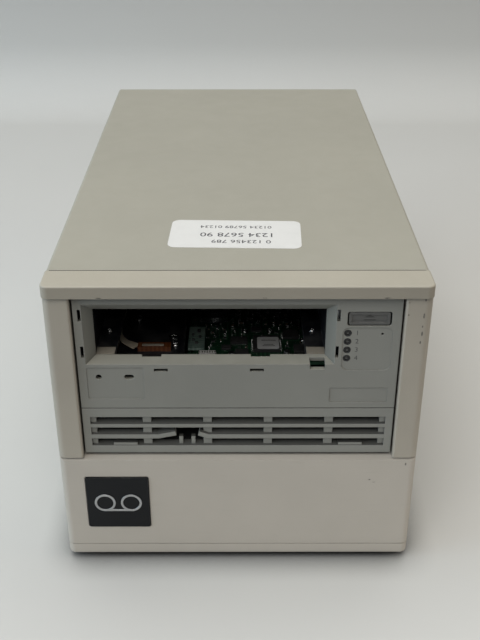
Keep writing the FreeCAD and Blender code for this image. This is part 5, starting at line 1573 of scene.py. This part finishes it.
@dataclass
class RearDetail:
    """Contacts, marks and numerals on the back of the enclosure."""

    contact_pitch: float = 1.0 * MM
    contact_count: int = 34
    contact_reach: float = 2.3 * MM
    contact_row: float = 0.78 * MM
    contact_inset: float = 0.15 * MM
    contact_section: tuple[float, float, float] = (0.55 * MM, 0.2 * MM, 0.04 * MM)
    least_lean: float = 0.1
    bar: tuple[float, float, float] = (0.7 * MM, 4.0 * MM, 0.2 * MM)
    ring: Point = (2.0 * MM, 1.35 * MM)
    mark_relief: float = 0.03 * MM
    key_text: float = 4.2 * MM
    wheel_text: float = 3.0 * MM
    wheel_sink: float = 0.999
    disc: tuple[Point, ...] = ((9.0, 0.0), (9.0, 0.05), (8.8, 0.08), (2.0, 0.08))

    def build(self) -> None:
        """Dress the sockets, switch, number wheel, keys and fan."""
        self.contacts()
        self.rocker_marks()
        self.wheel_numerals()
        for body, text in ((Body.PLUS, "+"), (Body.MINUS, "-")):
            sign(body.value + "_mark", text, self.key_text, self.back_of(body.value),
                 Shop.print_grey, body)
        mesh = bmesh.new()
        disc = [(radius * MM, height * MM) for radius, height in self.disc]
        turned(mesh, disc, self.back_of("enclosure_fan_rotor"), 40)
        piece("fan_hub_disc", mesh, Shop.can, Body.FAN)

    def back_of(self, node: str) -> Matrix:
        """Frame in the middle of a node's back, looking to the rear."""
        box = span(node)
        return facing(Vector((box.middle.x, box.high.y, box.middle.z)), Side.REAR)

    def contacts(self) -> None:
        """Two rows of gold contacts in each data socket's slot."""
        mesh = bmesh.new()
        outline = rounded_outline(*self.contact_section, 1)
        for port in islands("data_ports"):
            start = port.middle.x - self.contact_pitch * (self.contact_count - 1) / 2
            for k in range(self.contact_count):
                for z in (port.middle.z - self.contact_row, port.middle.z + self.contact_row):
                    at = (start + k * self.contact_pitch, port.high.y - self.contact_inset, z)
                    slab(mesh, outline, self.contact_reach, Matrix.Translation(at) @ spin(90, "X"))
        piece("port_contacts", mesh, Shop.gold)

    def rocker_marks(self) -> None:
        """Bar on the larger and ring on the smaller half of the rocker's face."""
        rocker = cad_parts["power_rocker"].data
        faces = [face for face in rocker.polygons if face.normal.y > 0.6]
        faces.sort(key=lambda face: -face.area)
        first = faces[0]
        second = next(face for face in faces
                      if abs(round(face.normal.x, 2) - round(first.normal.x, 2)) >= self.least_lean)
        marks = bmesh.new()
        slab(marks, rounded_outline(*self.bar, 2), self.mark_relief, self.half_frame(faces, first))
        outer, inner = self.ring
        ring = ((outer, 0.0), (outer, self.mark_relief), (inner, self.mark_relief), (inner, 0.0))
        turned(marks, ring, self.half_frame(faces, second), 28, Ends.JOINED)
        piece("rocker_marks", marks, Shop.print_white, Body.ROCKER)

    def half_frame(self, faces: Sequence[bpy.types.MeshPolygon],
                   face: bpy.types.MeshPolygon) -> Matrix:
        """Frame in the middle of the faces that look the way of one of them.

        Args:
            faces: Faces of both halves.
            face: A face of the half that is wanted.

        Returns:
            The frame, with Z out of the half.
        """
        group = [other for other in faces if (other.normal - face.normal).length < 0.02]
        area = sum(other.area for other in group)
        centre = sum((other.center * other.area for other in group), Vector()) / area
        return aimed(centre, face.normal.normalized())

    def wheel_numerals(self) -> None:
        """One numeral on each of the number wheel's ten flats."""
        wheel = span("id_number_wheel")
        flat = facing(Vector((0, wheel.depth / 2 * self.wheel_sink, 0)), Side.REAR)
        for number in range(10):
            place = Matrix.Translation(wheel.middle) @ spin(36 * number, "X") @ flat
            sign("wheel_numeral_%d" % number, str(number), self.wheel_text, place, Shop.print_grey,
                 Body.WHEEL)


def main() -> None:
    """Build every sub-assembly in order."""
    logging.basicConfig(level=logging.INFO, format="%(name)s: %(message)s")
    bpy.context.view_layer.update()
    for assembly in (Studio, FrameDresser, TopLabel, SeamShadowStrip, BadgeEmblem, Fasteners, LampRow,
                     EjectMark, BoardDetail, DeckDetail, FlexRibbon, RearDetail):
        assembly().build()


if __name__ == "__main__":
    main()
